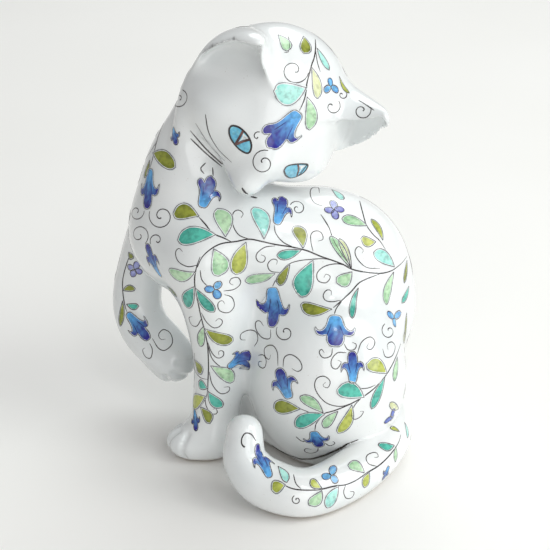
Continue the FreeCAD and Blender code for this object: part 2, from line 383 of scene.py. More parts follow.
def surface_net(field):
    """A vertex for each cell that the surface crosses, and a quad for each grid edge it cuts."""
    inside = field < 0
    count = np.zeros(np.array(field.shape) - 1, int)
    corners = [(i, j, k) for i in (0, 1) for j in (0, 1) for k in (0, 1)]
    for i, j, k in corners:
        count += inside[i:count.shape[0] + i, j:count.shape[1] + j, k:count.shape[2] + k]
    crossed = (count > 0) & (count < 8)
    index = np.full(count.shape, -1)
    index[crossed] = np.arange(crossed.sum())
    cells = np.argwhere(crossed)
    total = np.zeros((len(cells), 3))
    hits = np.zeros(len(cells))
    for corner in corners:
        for axis in range(3):
            if corner[axis]:
                continue
            other = np.array(corner)
            other[axis] = 1
            a = field[tuple((cells + corner).T)]
            b = field[tuple((cells + other).T)]
            cut = (a < 0) != (b < 0)
            place = np.tile(np.array(corner, float), (len(cells), 1))
            place[:, axis] += a / np.where(a == b, 1, a - b)
            total[cut] += place[cut]
            hits[cut] += 1
    vertices = cells + total / hits[:, None]
    quads = []
    for axis in range(3):
        u, v = (axis + 1) % 3, (axis + 2) % 3
        first, second = [slice(1, -1)] * 3, [slice(1, -1)] * 3
        first[axis], second[axis] = slice(0, -1), slice(1, None)
        cut = inside[tuple(first)] != inside[tuple(second)]
        offset = np.ones(3, int)
        offset[axis] = 0
        edge = np.argwhere(cut) + offset
        du, dv = np.eye(3, dtype=int)[[u, v]]
        quad = np.stack([index[tuple((edge - step).T)] for step in (du + dv, dv, 0 * du, du)], 1)
        flip = ~inside[tuple(edge.T)]
        quad[flip] = quad[flip][:, ::-1]
        quads.append(quad)
    return vertices, np.vstack(quads)


def gradient(points, reach=0.25):
    """The slope of the distance, which points outwards, and the distance itself."""
    corners = np.array(((1, -1, -1), (-1, -1, 1), (-1, 1, -1), (1, 1, 1)), float)
    values = [in_chunks(cat, points + reach * corner) for corner in corners]
    slope = sum(value[:, None] * corner for value, corner in zip(values, corners)) / (4 * reach)
    return slope, sum(values) / 4


def settle(points, rounds=2):
    """Moves points onto the surface along its slope."""
    for _ in range(rounds):
        slope, value = gradient(points)
        steep = np.maximum((slope**2).sum(1), LEAST_SLOPE)
        step = slope * (value / steep)[:, None]
        length = np.linalg.norm(step, axis=1, keepdims=True)
        points = points - step * np.minimum(1, GRID / np.maximum(length, 1e-9))
    return points


def averaged(values, quads):
    """Each vertex's mean over its neighbours."""
    total = np.zeros_like(values)
    count = np.zeros(len(values))
    for a, b in ((0, 1), (1, 2), (2, 3), (3, 0)):
        np.add.at(total, quads[:, a], values[quads[:, b]])
        np.add.at(count, quads[:, a], 1)
        np.add.at(total, quads[:, b], values[quads[:, a]])
        np.add.at(count, quads[:, b], 1)
    return total / count[:, None]


def relax(points, quads, rounds=2):
    """Evens out the mesh along the surface."""
    for _ in range(rounds):
        points = points + 0.5 * (averaged(points, quads) - points)
        points = settle(points, 1)
    return points


def face_normals(points, quads):
    """The unit normal of each quad."""
    corners = points[quads]
    facing = np.cross(corners[:, 2] - corners[:, 0], corners[:, 3] - corners[:, 1])
    return facing / np.maximum(np.linalg.norm(facing, axis=1, keepdims=True), 1e-9)


def skin_normals(points, quads):
    """Outward normals from the slope, or from the mesh where a thin rim turns the slope over."""
    slope = gradient(points)[0]
    smooth = slope / np.linalg.norm(slope, axis=1, keepdims=True)
    flat = np.zeros_like(points)
    facing = face_normals(points, quads)
    for corner in range(4):
        np.add.at(flat, quads[:, corner], facing)
    flat = averaged(flat, quads) + flat
    flat /= np.maximum(np.linalg.norm(flat, axis=1, keepdims=True), 1e-9)
    flat *= np.sign((flat * smooth).sum(1).mean())
    agree = (flat * smooth).sum(1)
    trust = np.clip((agree - DOUBTED) / DOUBT_SPAN, 0, 1)[:, None]
    mixed = smooth * trust + flat * (1 - trust)
    return mixed / np.linalg.norm(mixed, axis=1, keepdims=True)


def trace_glaze():
    """The glaze as points in millimetres and quads."""
    low = np.array(cad_box[0]) / MM - MARGIN
    high = np.array(cad_box[1]) / MM + MARGIN
    vertices, quads = surface_net(banded_field(low, high))
    points = settle(low + GRID * vertices)
    return relax(points, quads), quads


# ================================================================ meshes


def new_object(name, points, faces, material):
    """A mesh object in metres from points in millimetres, on the cat's one body."""
    mesh = bpy.data.meshes.new(name)
    mesh.from_pydata((np.asarray(points) * MM).tolist(), [], [list(map(int, f)) for f in faces])
    mesh.materials.append(material)
    mesh.polygons.foreach_set("use_smooth", np.ones(len(mesh.polygons), bool))
    thing = bpy.data.objects.new(name, mesh)
    bpy.context.scene.collection.objects.link(thing)
    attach(thing, "root")
    return thing


def close_rims(thing, normals):
    """Turns the rims where castings are luted together inwards, and caps them."""
    work = bmesh.new()
    work.from_mesh(thing.data)
    rims = [edge for edge in work.edges if edge.is_boundary]
    work.verts.index_update()
    outer = {vertex for edge in rims for vertex in edge.verts}
    turned = bmesh.ops.extrude_edge_only(work, edges=rims)["geom"]
    lips = [item for item in turned if isinstance(item, bmesh.types.BMVert)]
    extra = []
    for lip in lips:
        source = next(edge.other_vert(lip) for edge in lip.link_edges
                      if edge.other_vert(lip) in outer)
        normal = normals[source.index]
        lip.co = source.co - Vector(normal) * RIM_DEPTH * MM
        extra.append(normal)
    open_edges = [edge for edge in work.edges if edge.is_boundary]
    filled = bmesh.ops.holes_fill(work, edges=open_edges, sides=0)["faces"]
    bmesh.ops.triangulate(work, faces=filled)
    work.to_mesh(thing.data)
    work.free()
    return np.vstack([normals, extra])


def build_castings(points, quads, normals, glaze):
    """Shares the glaze out to the castings: each quad goes to the part that it is nearest to."""
    middles = points[quads].mean(1)
    owner = np.argmin(in_chunks(part_distances, middles), 1)
    for number, node in enumerate(CASTINGS):
        mine = quads[owner == number]
        used, local = np.unique(mine, return_inverse=True)
        skin = new_object(f"{node}_glaze", points[used], local.reshape(-1, 4), glaze)
        closed = close_rims(skin, normals[used])
        skin.data.normals_split_custom_set_from_vertices(closed.tolist())
        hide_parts(node)


# ================================================================ materials


def node_material(name):
    material = bpy.data.materials.new(name)
    material.use_nodes = True
    return material, material.node_tree.nodes, material.node_tree.links


def noise(nodes, links, scale, detail=3.0):
    place = nodes.new("ShaderNodeTexCoord")
    texture = nodes.new("ShaderNodeTexNoise")
    texture.inputs["Scale"].default_value = scale
    texture.inputs["Detail"].default_value = detail
    links.new(place.outputs["Object"], texture.inputs["Vector"])
    return texture


def ramp(nodes, links, source, stops):
    curve = nodes.new("ShaderNodeValToRGB")
    for place, colour in stops[2:]:
        curve.color_ramp.elements.new(place)
    for element, (place, colour) in zip(curve.color_ramp.elements, sorted(stops)):
        element.position = place
        element.color = (*colour, 1)
    links.new(source, curve.inputs["Fac"])
    return curve.outputs["Color"]


def grey(value):
    return (value, value, value)


def stained(nodes, links, mask, ground, colour):
    """The ground colour, with another where the mask is white."""
    mix = nodes.new("ShaderNodeMixRGB")
    links.new(mask, mix.inputs["Fac"])
    links.new(ground, mix.inputs["Color1"])
    mix.inputs["Color2"].default_value = (*colour, 1)
    return mix.outputs["Color"]


def make_glossy(nodes, links, patches, least, most, coat):
    """Fired gloss that varies in patches, from its least to its most roughness, under a clear coat."""
    shader = nodes["Principled BSDF"]
    patch = noise(nodes, links, patches, 2.0)
    gloss = ramp(nodes, links, patch.outputs["Fac"], [(0.3, grey(least)), (0.7, grey(most))])
    links.new(gloss, shader.inputs["Roughness"])
    shader.inputs["IOR"].default_value = 1.52
    shader.inputs["Coat Weight"].default_value = coat
    shader.inputs["Coat Roughness"].default_value = 0.06


def make_glaze():
    """White tin glaze: a faint bluish bloom where it is thick, fine waves, and a bare biscuit foot."""
    material, nodes, links = node_material("white_tin_glaze")
    shader = nodes["Principled BSDF"]
    bloom = noise(nodes, links, 14.0, 4.0)
    tint = ramp(nodes, links, bloom.outputs["Fac"],
                [(0.3, (0.74, 0.775, 0.78)), (0.7, (0.84, 0.857, 0.852))])
    speck = noise(nodes, links, 900.0, 1.0)
    spots = ramp(nodes, links, speck.outputs["Fac"], [(0.76, grey(0.0)), (0.82, grey(1.0))])
    speckled = stained(nodes, links, spots, tint, (0.50, 0.47, 0.42))
    place = nodes.new("ShaderNodeTexCoord")
    axes = nodes.new("ShaderNodeSeparateXYZ")
    links.new(place.outputs["Object"], axes.inputs["Vector"])
    bare = ramp(nodes, links, axes.outputs["Z"], [(0.0008, grey(1.0)), (0.0016, grey(0.0))])
    footed = stained(nodes, links, bare, speckled, (0.62, 0.50, 0.38))
    links.new(footed, shader.inputs["Base Color"])
    make_glossy(nodes, links, 35.0, 0.10, 0.20, 0.35)
    waves = noise(nodes, links, 55.0, 2.0)
    bump = nodes.new("ShaderNodeBump")
    bump.inputs["Strength"].default_value = 0.12
    bump.inputs["Distance"].default_value = 0.0012
    links.new(waves.outputs["Fac"], bump.inputs["Height"])
    links.new(bump.outputs["Normal"], shader.inputs["Normal"])
    return material


# ================================================================ studio

VIEW_RISE = math.radians(28.0)
VIEW_DISTANCE = 1.25
VIEW_TARGET = Vector((0.0, 0.0, 0.121))
LENS = 114.5
FLOOR_SIDE = 6.0
# Each light: its place and width in metres, its power in watts and its colour.
LIGHTS = {
    "window": ((1.1, -0.5, 1.5), 0.8, 7.6, (0.95, 1.0, 0.98)),
    "side_box": ((1.3, -0.2, 0.9), 0.8, 3.6, (1.0, 0.95, 0.92)),
    "back_box": ((0.2, 1.1, 1.5), 1.4, 14.0, (0.95, 1.0, 1.0)),
    "front_box": ((0.7, -1.3, 1.3), 0.9, 4.6, (0.95, 0.98, 1.0)),
    "low_front_box": ((0.3, -1.7, 0.5), 1.0, 4.6, (1.0, 1.0, 1.0)),
    "low_side_box": ((1.6, -0.7, 0.4), 0.8, 5.6, (0.96, 0.99, 1.0)),
    "lamp": ((0.35, -0.9, 1.5), 0.14, 0.8, (1.0, 1.0, 1.0)),
}


def make_floor():
    material, nodes, links = node_material("pale_table")
    shader = nodes["Principled BSDF"]
    cloud = noise(nodes, links, 3.0, 2.0)
    tint = ramp(nodes, links, cloud.outputs["Fac"],
                [(0.3, (0.86, 0.852, 0.825)), (0.7, (0.89, 0.882, 0.86))])
    links.new(tint, shader.inputs["Base Color"])
    shader.inputs["Roughness"].default_value = 0.6
    bpy.ops.mesh.primitive_plane_add(size=FLOOR_SIDE, location=(0, 0, 0))
    floor = bpy.context.object
    floor.name = "table_top"
    floor.data.materials.append(material)


def area_light(name, place, size, power, colour):
    light = bpy.data.lights.new(name, "AREA")
    light.shape = "DISK"
    light.size = size
    light.energy = power
    light.color = colour
    lamp = bpy.data.objects.new(name, light)
    lamp.location = place
    lamp.rotation_mode = "QUATERNION"
    lamp.rotation_quaternion = (VIEW_TARGET - lamp.location).to_track_quat("-Z", "Y")
    bpy.context.scene.collection.objects.link(lamp)


def make_lights():
    for name, light in LIGHTS.items():
        area_light(name, *light)
    world = bpy.data.worlds.new("studio")
    world.use_nodes = True
    sky = world.node_tree.nodes["Background"]
    sky.inputs["Color"].default_value = (1.0, 0.98, 0.98, 1)
    sky.inputs["Strength"].default_value = 0.40
    bpy.context.scene.world = world
    bpy.context.scene.view_settings.view_transform = "Standard"


def make_camera():
    data = bpy.data.cameras.new("camera")
    data.lens = LENS
    data.sensor_width = 36.0
    data.clip_start = 0.05
    data.clip_end = 20.0
    camera = bpy.data.objects.new("camera", data)
    back = Vector((0, -math.cos(VIEW_RISE), math.sin(VIEW_RISE)))
    camera.location = VIEW_TARGET + back * VIEW_DISTANCE
    camera.rotation_mode = "QUATERNION"
    camera.rotation_quaternion = (-back).to_track_quat("-Z", "Y")
    bpy.context.scene.collection.objects.link(camera)
    bpy.context.scene.camera = camera


# ================================================================ painted ornament


def srgb(red, green, blue):
    """The shader's own numbers for a colour named by its 0 to 255 levels."""
    levels = np.array((red, green, blue)) / 255
    return np.where(levels < 0.04, levels / 12.92, ((levels + 0.055) / 1.055)**2.4)


# Each enamel thins to its first colour and pools to its second.
ENAMELS = {
    "olive": (srgb(152, 160, 54), srgb(84, 94, 22)),
    "lime": (srgb(192, 200, 92), srgb(134, 146, 42)),
    "mint": (srgb(196, 228, 190), srgb(126, 184, 134)),
    "teal": (srgb(88, 196, 176), srgb(22, 126, 114)),
    "aqua": (srgb(184, 236, 226), srgb(112, 206, 196)),
    "cream": (srgb(226, 230, 188), srgb(186, 194, 128)),
    "sky": (srgb(120, 190, 232), srgb(52, 112, 200)),
    "bell": (srgb(98, 176, 234), srgb(42, 34, 140)),
    "dusk": (srgb(52, 66, 150), srgb(34, 30, 100)),
    "violet": (srgb(84, 120, 214), srgb(48, 38, 140)),
    "lilac": (srgb(170, 178, 226), srgb(92, 84, 176)),
    "iris": (srgb(140, 216, 232), srgb(64, 158, 200)),
    "white": (srgb(236, 240, 240), srgb(214, 220, 222)),
    # painted shade: the dark of the crease between the tail and the haunch, not a colour of the glaze
    "crease_shade": (srgb(70, 64, 56), srgb(44, 40, 36)),
    "ink": (srgb(62, 56, 58), srgb(40, 34, 38)),
    "blush": (srgb(120, 84, 80), srgb(70, 44, 48)),
}
STEM = 0.95  # widths of the drawn lines
OUTLINE = 0.6
TENDRIL = 0.7
TAPER = (0.5, 0.35)  # width of a line at its two ends, as shares of its full width
EVEN = (1, 1)
HALO = 0.09  # white shown beside a shape's outline, as a share of the shape's width,
HALO_MOST = 1.3  # and the most of it
RAISED = 0.1  # how far an enamel stands proud of the glaze
EDGE = 0.05  # how far the edge of a painted line does
SUNK = 0.5  # how far the underside of either goes into it
RANK = 0.03  # how much further proud each rank of paint over paint stands
OUTSIDE = 500.0  # how far off the cat a ray onto the glaze starts
FACING = 0.3  # a spot has room if the glaze faces the painter by this much,
STRETCH = 1.7  # and if it doesn't spread a motif further than this
SAME_PLACE = 4.0  # a place shows on the display side if a ray lands this near to it,
SEEN = 0.2  # and if the glaze there faces the painter by this much
CURL_END = 0.12  # how near its centre a tendril ends, as a share of where it starts
JUMP = 12.0  # a line breaks where it would leap further than this
HALO_LIFT = 0.05  # lift of the white round a shape,
OUTLINE_LIFT = 0.1  # of its outline over that,
CREASE_LIFT = 0.14  # of the creases of a bell,
OVER = 0.16  # and of a line over the paint of a filled shape
STEP = 1.3  # spacing of the points along a painted line
GRAIN = 1.5  # spacing of the points inside a painted shape
ROW = 1.6  # spacing of the rows of points along a leaf
WIDE = 7.0  # a leaf at least this wide has seven columns of points, a narrower one five
LEAP = 2.2  # a tip that lies further from its base than this many lengths of the shape,
LEEWAY = 4.0  # and this much more, has fallen off an edge and is laid beside it instead
LEAF = (1.05, 0.6)  # powers for the two ends of a shape: a small one is blunt
PETAL = (0.55, 0.45)

# Half of a bell flower's outline, from the middle of its base round to the middle of its mouth:
# across in widths, and along in lengths. One has a hooked petal and the other a plain lobe.
HOOKED_HALF = [
    (0.00, 0.00), (0.12, 0.01), (0.19, 0.06), (0.23, 0.16), (0.26, 0.28), (0.32, 0.40), (0.42, 0.48),
    (0.53, 0.47), (0.62, 0.36), (0.61, 0.52), (0.53, 0.63), (0.38, 0.67), (0.26, 0.64),
    (0.27, 0.78), (0.22, 0.91), (0.11, 0.99), (0.00, 1.01),
]
LOBED_HALF = [
    (0.00, 0.00), (0.13, 0.01), (0.21, 0.07), (0.26, 0.20), (0.30, 0.36), (0.36, 0.50), (0.47, 0.60),
    (0.55, 0.68), (0.55, 0.80), (0.45, 0.87), (0.33, 0.84), (0.26, 0.76), (0.27, 0.88),
    (0.20, 0.99), (0.06, 1.05),
]
BELL_SPREAD = 1.2  # full width of the outline above, hooks and all

# How the sides that the picture does not show are filled. Pairs are the least and the most of
# something drawn at random, and for room the radius of a motif and the gap to leave beyond it.
VINE_PACE = 2.0  # spacing of the places along a vine
VINE_GAP = 3.0
VINE_START = 8  # places with room, one after another, that a vine needs to begin
SPRIG_PACE = 6  # places from one sprig to the next
SPRIG_LEAN = (0.75, 1.0)  # angle between the vine and a sprig
SPRIG_LENGTH = (16, 22)
SPRIG_WIDTH = (0.44, 0.52)  # as a share of the length
SPRIG_GAP = 2.2
STALK = 5  # length of a bell's stalk
TENDRIL_REACH = (7.5, 10)
TENDRIL_LEAN = 1.1
TENDRIL_TURNS = (1.1, 1.4)
TENDRIL_ROOM = (6, 2.0)
SCATTER_PACE = 21
STRAY = (-4, 4)
BELL_ROOM = (10.5, 2.5)
FLOWER_ROOM = (6.5, 2.0)
CURL_ROOM = (4, 1.6)
GREENS = ("olive", "lime", "mint", "teal", "aqua", "olive", "teal")
# Spots on a circle round a motif, to see whether there is room for it:
RING = [np.array((math.cos(turn), math.sin(turn))) for turn in np.arange(0.3, math.tau, 1.05)]


def canvas(azimuth, rise):
    """A painter's straight view of the cat: the directions across, up and inwards."""
    turn, lift = math.radians(azimuth), math.radians(rise)
    across = np.array((math.cos(turn), math.sin(turn), 0.0))
    flat = np.array((-math.sin(turn), math.cos(turn), 0.0))
    inwards = flat * math.cos(lift) - np.array((0.0, 0.0, math.sin(lift)))
    return across, np.cross(across, inwards), inwards


class Skin:
    """The glaze surface, as something to paint on."""

    def __init__(self, points, quads, normals):
        self.points = points
        self.quads = quads
        self.normals = normals
        self.tree = BVHTree.FromPolygons(points.tolist(), quads.tolist())
        self.painted = []

    def smooth_normal(self, place, face):
        corners = self.quads[face]
        gaps = ((self.points[corners] - place)**2).sum(1)
        return unit((self.normals[corners] / (gaps + 0.05)[:, None]).sum(0))

    def cast(self, view, u, v):
        """The point of the glaze seen at a place on the canvas, with its normal."""
        across, upwards, inwards = view
        start = u * across + v * upwards - OUTSIDE * inwards
        hit, _, face, _ = self.tree.ray_cast(Vector(start), Vector(inwards))
        if hit is None:
            return None
        place = np.array(hit)
        return place, self.smooth_normal(place, face)

    def on_display(self, place):
        """Whether a place of the glaze shows on the side that has its own painting."""
        view = canvas(*DISPLAY)
        found = self.cast(view, np.dot(place, view[0]), np.dot(place, view[1]))
        if found is None or np.linalg.norm(found[0] - place) > SAME_PLACE:
            return False
        return np.dot(found[1], view[2]) < -SEEN

    def nearest(self, place):
        hit, _, face, _ = self.tree.find_nearest(Vector(place))
        place = np.array(hit)
        return place, self.smooth_normal(place, face)


def face_outwards(thing):
    work = bmesh.new()
    work.from_mesh(thing.data)
    bmesh.ops.recalc_face_normals(work, faces=work.faces)
    work.to_mesh(thing.data)
    work.free()


class Layer:
    """One enamel's painted shapes on one part of the cat."""

    def __init__(self):
        self.points = []
        self.normals = []
        self.colours = []
        self.faces = []

    def add(self, points, normals, colours, faces):
        start = len(self.points)
        self.points.extend(points)
        self.normals.extend(normals)
        self.colours.extend(colours)
        self.faces.extend([tuple(start + i for i in face) for face in faces])

    def build(self, name, material, slot):
        if not self.faces:
            return
        thing = new_object(name, self.points, self.faces, material)
        face_outwards(thing)
        colours = np.ones((len(self.points), 4))
        colours[:, :3] = self.colours
        paint = thing.data.color_attributes.new("enamel", "FLOAT_COLOR", "POINT")
        paint.data.foreach_set("color", colours.ravel())
        thing.data.normals_split_custom_set_from_vertices([tuple(n) for n in self.normals])


class Brush:
    """Paints one part of the cat as seen on one canvas."""

    def __init__(self, region, skin, azimuth, rise):
        self.region = region
        self.skin = skin
        self.view = canvas(azimuth, rise)
        self.leaves = Layer()
        self.flowers = Layer()
        self.lines = Layer()
        self.chance = np.random.default_rng(sum(map(ord, region)))

    def finish(self, enamel):
        self.leaves.build(f"{self.region}_leaves", enamel, "leaf_enamel")
        self.flowers.build(f"{self.region}_flowers", enamel, "flower_enamel")
        self.lines.build(f"{self.region}_lines", enamel, "line_enamel")

    def on_glaze(self, path):
        """Runs of places on the glaze below a path of the canvas, broken where it jumps."""
        runs = [[]]
        for u, v in path:
            found = self.skin.cast(self.view, u, v)
            jumped = found and runs[-1] and np.linalg.norm(found[0] - runs[-1][-1]) > JUMP
            if found is None or jumped:
                runs.append([])
            if found:
                runs[-1].append(found[0])
        return [np.array(run) for run in runs if len(run) > 2]

    def ribbon(self, path, width, ink="ink", taper=TAPER, lift=0.0):
        """A line of enamel with a low rounded back, lifted clear of any paint below it."""
        places, normals = apart([self.skin.nearest(place) for place in evenly(path)])
        count = len(places)
        self.skin.painted.append(places)
        side = np.cross(np.gradient(places, axis=0), normals)
        side /= np.linalg.norm(side, axis=1, keepdims=True) + 1e-9
        swell = np.interp(np.linspace(0, 1, count), (0, 0.12, 0.8, 1), (taper[0], 1, 1, taper[1]))
        half = (width / 2 * swell)[:, None]
        edge = normals * (EDGE + lift)
        rings = [places - side * half + edge, places + normals * (EDGE + RAISED + lift),
                 places + side * half + edge, places - normals * SUNK]
        points = np.stack(rings, 1).reshape(-1, 3)
        thin, pooled = ENAMELS[ink]
        mix = 0.5 + 0.5 * np.sin(np.arange(count) * 0.7 + self.chance.uniform(0, 6))
        colours = thin + (pooled - thin) * mix[:, None]
        faces = [(3, 2, 1, 0)]
        last = 4 * (count - 1)
        for i in range(0, last, 4):
            faces += [(i + j, i + (j + 1) % 4, i + 4 + (j + 1) % 4, i + 4 + j) for j in range(4)]
        faces.append((last, last + 1, last + 2, last + 3))
        self.lines.add(points, normals.repeat(4, 0), colours.repeat(4, 0), faces)

    def outline(self, rim, size):
        """The drawn edge of a painted shape, on the white enamel that shows round the colour."""
        halo = OUTLINE + min(HALO_MOST, HALO * size)
        self.ribbon(rim, halo, "white", EVEN, HALO_LIFT)
        self.ribbon(rim, OUTLINE, "ink", EVEN, OUTLINE_LIFT)

    def line(self, knots, width=TENDRIL, ink="ink", taper=TAPER, lift=0.0):
        """A line through knots of the canvas."""
        for run in self.on_glaze(evenly(smooth_path(knots, 24))):
            self.ribbon(run, width, ink, taper, lift)

    def stem(self, *knots):
        self.line(knots, STEM)

    def curl(self, start, centre, turns=1.4):
        """A tendril that leaves a stem and winds in round its centre."""
        start, centre = np.array(start, float), np.array(centre, float)
        arm = start - centre
        steps = np.linspace(0, 1, 26)
        angle = math.tau * turns * steps
        reach = (1 - steps)**0.8 * (1 - CURL_END) + CURL_END
        path = np.stack([centre[0] + reach * (arm[0] * np.cos(angle) - arm[1] * np.sin(angle)),
                         centre[1] + reach * (arm[1] * np.cos(angle) + arm[0] * np.sin(angle))], 1)
        for run in self.on_glaze(path):
            self.ribbon(run, TENDRIL, "ink", (0.8, 1.3))

    def ends(self, base, tip):
        """Both ends of a shape on the glaze, brought together where one falls off an edge."""
        root, end = self.skin.cast(self.view, *base), self.skin.cast(self.view, *tip)
        if root is None and end is None:
            return None
        shift = (tip[0] - base[0]) * self.view[0] + (tip[1] - base[1]) * self.view[1]
        if root is None:
            root = self.skin.nearest(end[0] - shift)
        elif end is None or np.linalg.norm(end[0] - root[0]) > LEAP * np.linalg.norm(shift) + LEEWAY:
            end = self.skin.nearest(root[0] + shift)
        return root, end

    def blade(self, layer, base, tip, width, enamel, bend=0.0, shape=LEAF, rank=0):
        """A leaf or petal from base to tip, laid flat on the glaze and rounded onto it."""
        found = self.ends(base, tip)
        if found is None:
            return
        root, end = found
        run = end[0] - root[0]
        side = unit(np.cross(unit(root[1] + end[1]), run))
        rows = max(8, int(np.linalg.norm(run) / ROW))
        columns = 5 if width < WIDE else 7
        steps = np.linspace(0, 1, rows)
        half = width / 2 * outline_share(steps, *shape)
        spine = root[0] + run * steps[:, None] + side * (bend * 4 * steps * (1 - steps))[:, None]
        across = np.linspace(-1, 1, columns)
        fill = np.maximum(half - OUTLINE / 2, OUTLINE / 4)
        flat = spine[:, None] + side * (fill[:, None] * across)[:, :, None]
        laid = apart([self.skin.nearest(place) for place in flat.reshape(-1, 3)])
        grid = np.arange(rows * columns).reshape(rows, columns)
        rim = np.concatenate([grid[0, :-1], grid[:-1, -1], grid[-1, :0:-1], grid[:0:-1, 0]])
        quads = [(grid[i, j], grid[i + 1, j], grid[i + 1, j + 1], grid[i, j + 1])
                 for i in range(rows - 1) for j in range(columns - 1)]
        row, column = np.divmod(np.arange(grid.size), columns)
        edge = np.abs(column / (columns - 1) * 2 - 1)
        pool = 0.6 * edge**2 + 0.55 * (row / (rows - 1))**2.5 + self.chance.uniform(-0.2, 0.2)
        pool = pool + self.chance.uniform(-0.25, 0.25, grid.size)
        self.slab(layer, *laid, quads, rim, enamel, pool, rank)
        border = np.vstack([spine + side * half[:, None], (spine - side * half[:, None])[::-1]])
        self.outline(border, width)

    def slab(self, layer, places, normals, tops, rim, enamel, pool, rank):
        """A thin closed slab of paint: thin in colour where pool is 0, pooled where it is 1."""
        total = len(places)
        faces = [tuple(face) for face in tops]
        faces += [tuple(total + corner for corner in face[::-1]) for face in faces]
        faces += [(a, b, total + b, total + a) for a, b in zip(rim, np.roll(rim, -1))]
        top = places + normals * (RAISED + RANK * rank)
        thin, pooled = ENAMELS[enamel]
        colours = thin + (pooled - thin) * np.clip(pool, 0, 1)[:, None]
        layer.add(np.vstack([top, places - normals * SUNK]), np.vstack([normals, normals]),
                  np.vstack([colours, colours]), faces)

    def leaf(self, enamel, base, tip, width, bend=None):
        """A leaf, curled to one side or the other unless the bend is given."""
        if bend is None:
            bend = self.chance.choice((-1, 1)) * self.chance.uniform(0.1, 0.24) * width
        self.blade(self.leaves, base, tip, width, enamel, bend)

    def bell(self, base, mouth, width, turned=1, both=True):
        """A bell flower, hooked on both sides, or on one with a lobe on the other."""
        found = self.ends(base, mouth)
        if found is None:
            return
        root, end = found
        run = end[0] - root[0]
        scale = np.array((width / BELL_SPREAD, np.linalg.norm(run)))
        side = turned * unit(np.cross(root[1] + end[1], run)) * width / BELL_SPREAD
        hooked = [(-x, y) for x, y in HOOKED_HALF]
        other = HOOKED_HALF[:-1] if both else LOBED_HALF
        outline = smooth_path(other + hooked[::-1][1 if both else 0:] + other[:1], 2)[:-1]
        flat, triangles = triangulate(outline, spread_inside(outline * scale, GRAIN) / scale)
        laid = apart([self.skin.nearest(root[0] + side * x + run * y) for x, y in flat])
        pool = 1.45 * flat[:, 1] - 0.28 + 1.6 * np.maximum(np.abs(flat[:, 0]) - 0.22, 0)
        streak = np.exp(-((np.abs(flat[:, 0]) - 0.12) / 0.04)**2) * (flat[:, 1] < 0.7)
        pool = pool + 0.3 * streak + self.chance.uniform(-0.15, 0.15, len(flat))
        self.slab(self.flowers, *laid, triangles, range(len(outline)), "bell", pool, 1)
        rim = [root[0] + side * x + run * y for x, y in np.vstack([outline, outline[:1]])]
        self.outline(np.array(rim), width / 2)
        for fold in (-1, 1):
            crease = [(fold * 0.13, 0.34), (fold * 0.19, 0.50), (fold * 0.25, 0.64)]
            places = np.array([root[0] + side * x + run * y for x, y in crease])
            self.ribbon(places, OUTLINE, "dusk", (0.3, 1), CREASE_LIFT)

    def flower(self, centre, size, petals=4, enamel="violet"):
        turn = self.chance.uniform(0, math.tau)
        for number in range(petals):
            angle = turn + math.tau * number / petals
            tip = (centre[0] + size * math.cos(angle), centre[1] + size * math.sin(angle))
            self.blade(self.flowers, centre, tip, 0.8 * size, enamel, 0, PETAL, number)

    def patch(self, layer, outline, enamel, rank=1):
        """A filled shape of the canvas with corners where its outline has them."""
        outline = np.array(outline, float)
        flat, triangles = triangulate(outline, spread_inside(outline, GRAIN))
        found = [self.skin.cast(self.view, *spot) for spot in flat]
        if None not in found:
            pool = self.chance.uniform(0.1, 0.8, len(flat))
            self.slab(layer, *apart(found), triangles, range(len(outline)), enamel, pool, rank)

    def has_room(self, spots, gap):
        """Whether the spots of the canvas face the painter and are clear of earlier paint."""
        found = [self.skin.cast(self.view, *spot) for spot in spots]
        if None in found:
            return False
        places, normals = apart(found)
        if (normals @ self.view[2]).max() > -FACING:
            return False
        if any(self.skin.on_display(place) for place in places):
            return False
        if np.ptp(places, axis=0).max() > STRETCH * np.ptp(np.array(spots), axis=0).max() + 2:
            return False
        done = np.concatenate(self.skin.painted)
        return all(((done - place)**2).sum(1).min() > gap**2 for place in places)

    def garland(self, *knots):
        """A vine through the knots, with leaves, bells and tendrils wherever there is room."""
        path = smooth_path(knots, 24)
        path = at_lengths(path, np.arange(0, run_lengths(path)[-1], VINE_PACE))
        bare = [self.has_room([spot], VINE_GAP) for spot in path]
        first = next((i for i in range(len(bare)) if all(bare[i:i + VINE_START])), None)
        if first is None:
            return
        last = next((i for i in range(first, len(bare)) if not bare[i]), len(bare))
        path = path[first:last]
        for number, place in enumerate(range(2, len(path) - 2, SPRIG_PACE)):
            ahead = unit(path[place + 1] - path[place])
            side = (-1)**number
            self.sprig(path[place], ahead, side, number % 4 == 2)
            self.tendril(path[place], ahead, -side)
        self.sprig(path[-1], unit(path[-1] - path[-3]), 0.2, False)
        self.line(path[::3], STEM)

    def sprig(self, at, ahead, side, bell):
        """A leaf beside the vine, or a bell on a short stalk."""
        out = turned_by(ahead, side * self.chance.uniform(*SPRIG_LEAN))
        across = turned_by(out, math.pi / 2)
        length = self.chance.uniform(*SPRIG_LENGTH)
        wide = length * self.chance.uniform(*SPRIG_WIDTH)
        base = at + (STALK if bell else 1) * out
        tip = base + length * out
        middle = base + 0.6 * length * out
        sides = across * wide / 2
        if not self.has_room([tip, middle + sides, middle - sides], SPRIG_GAP):
            return
        if bell:
            self.bell(base, tip, 0.85 * length)
            self.line((at, (at + base) / 2, base))
        else:
            self.leaf(self.chance.choice(GREENS), base, tip, wide)

    def room_around(self, centre, radius, gap):
        return self.has_room([centre + radius * spot for spot in RING], gap)

    def tendril(self, at, ahead, side):
        """A tendril that leaves the vine on one side of it."""
        reach = self.chance.uniform(*TENDRIL_REACH)
        centre = at + reach * turned_by(ahead, side * TENDRIL_LEAN)
        if self.room_around(centre, *TENDRIL_ROOM):
            self.curl(at, centre, side * self.chance.uniform(*TENDRIL_TURNS))

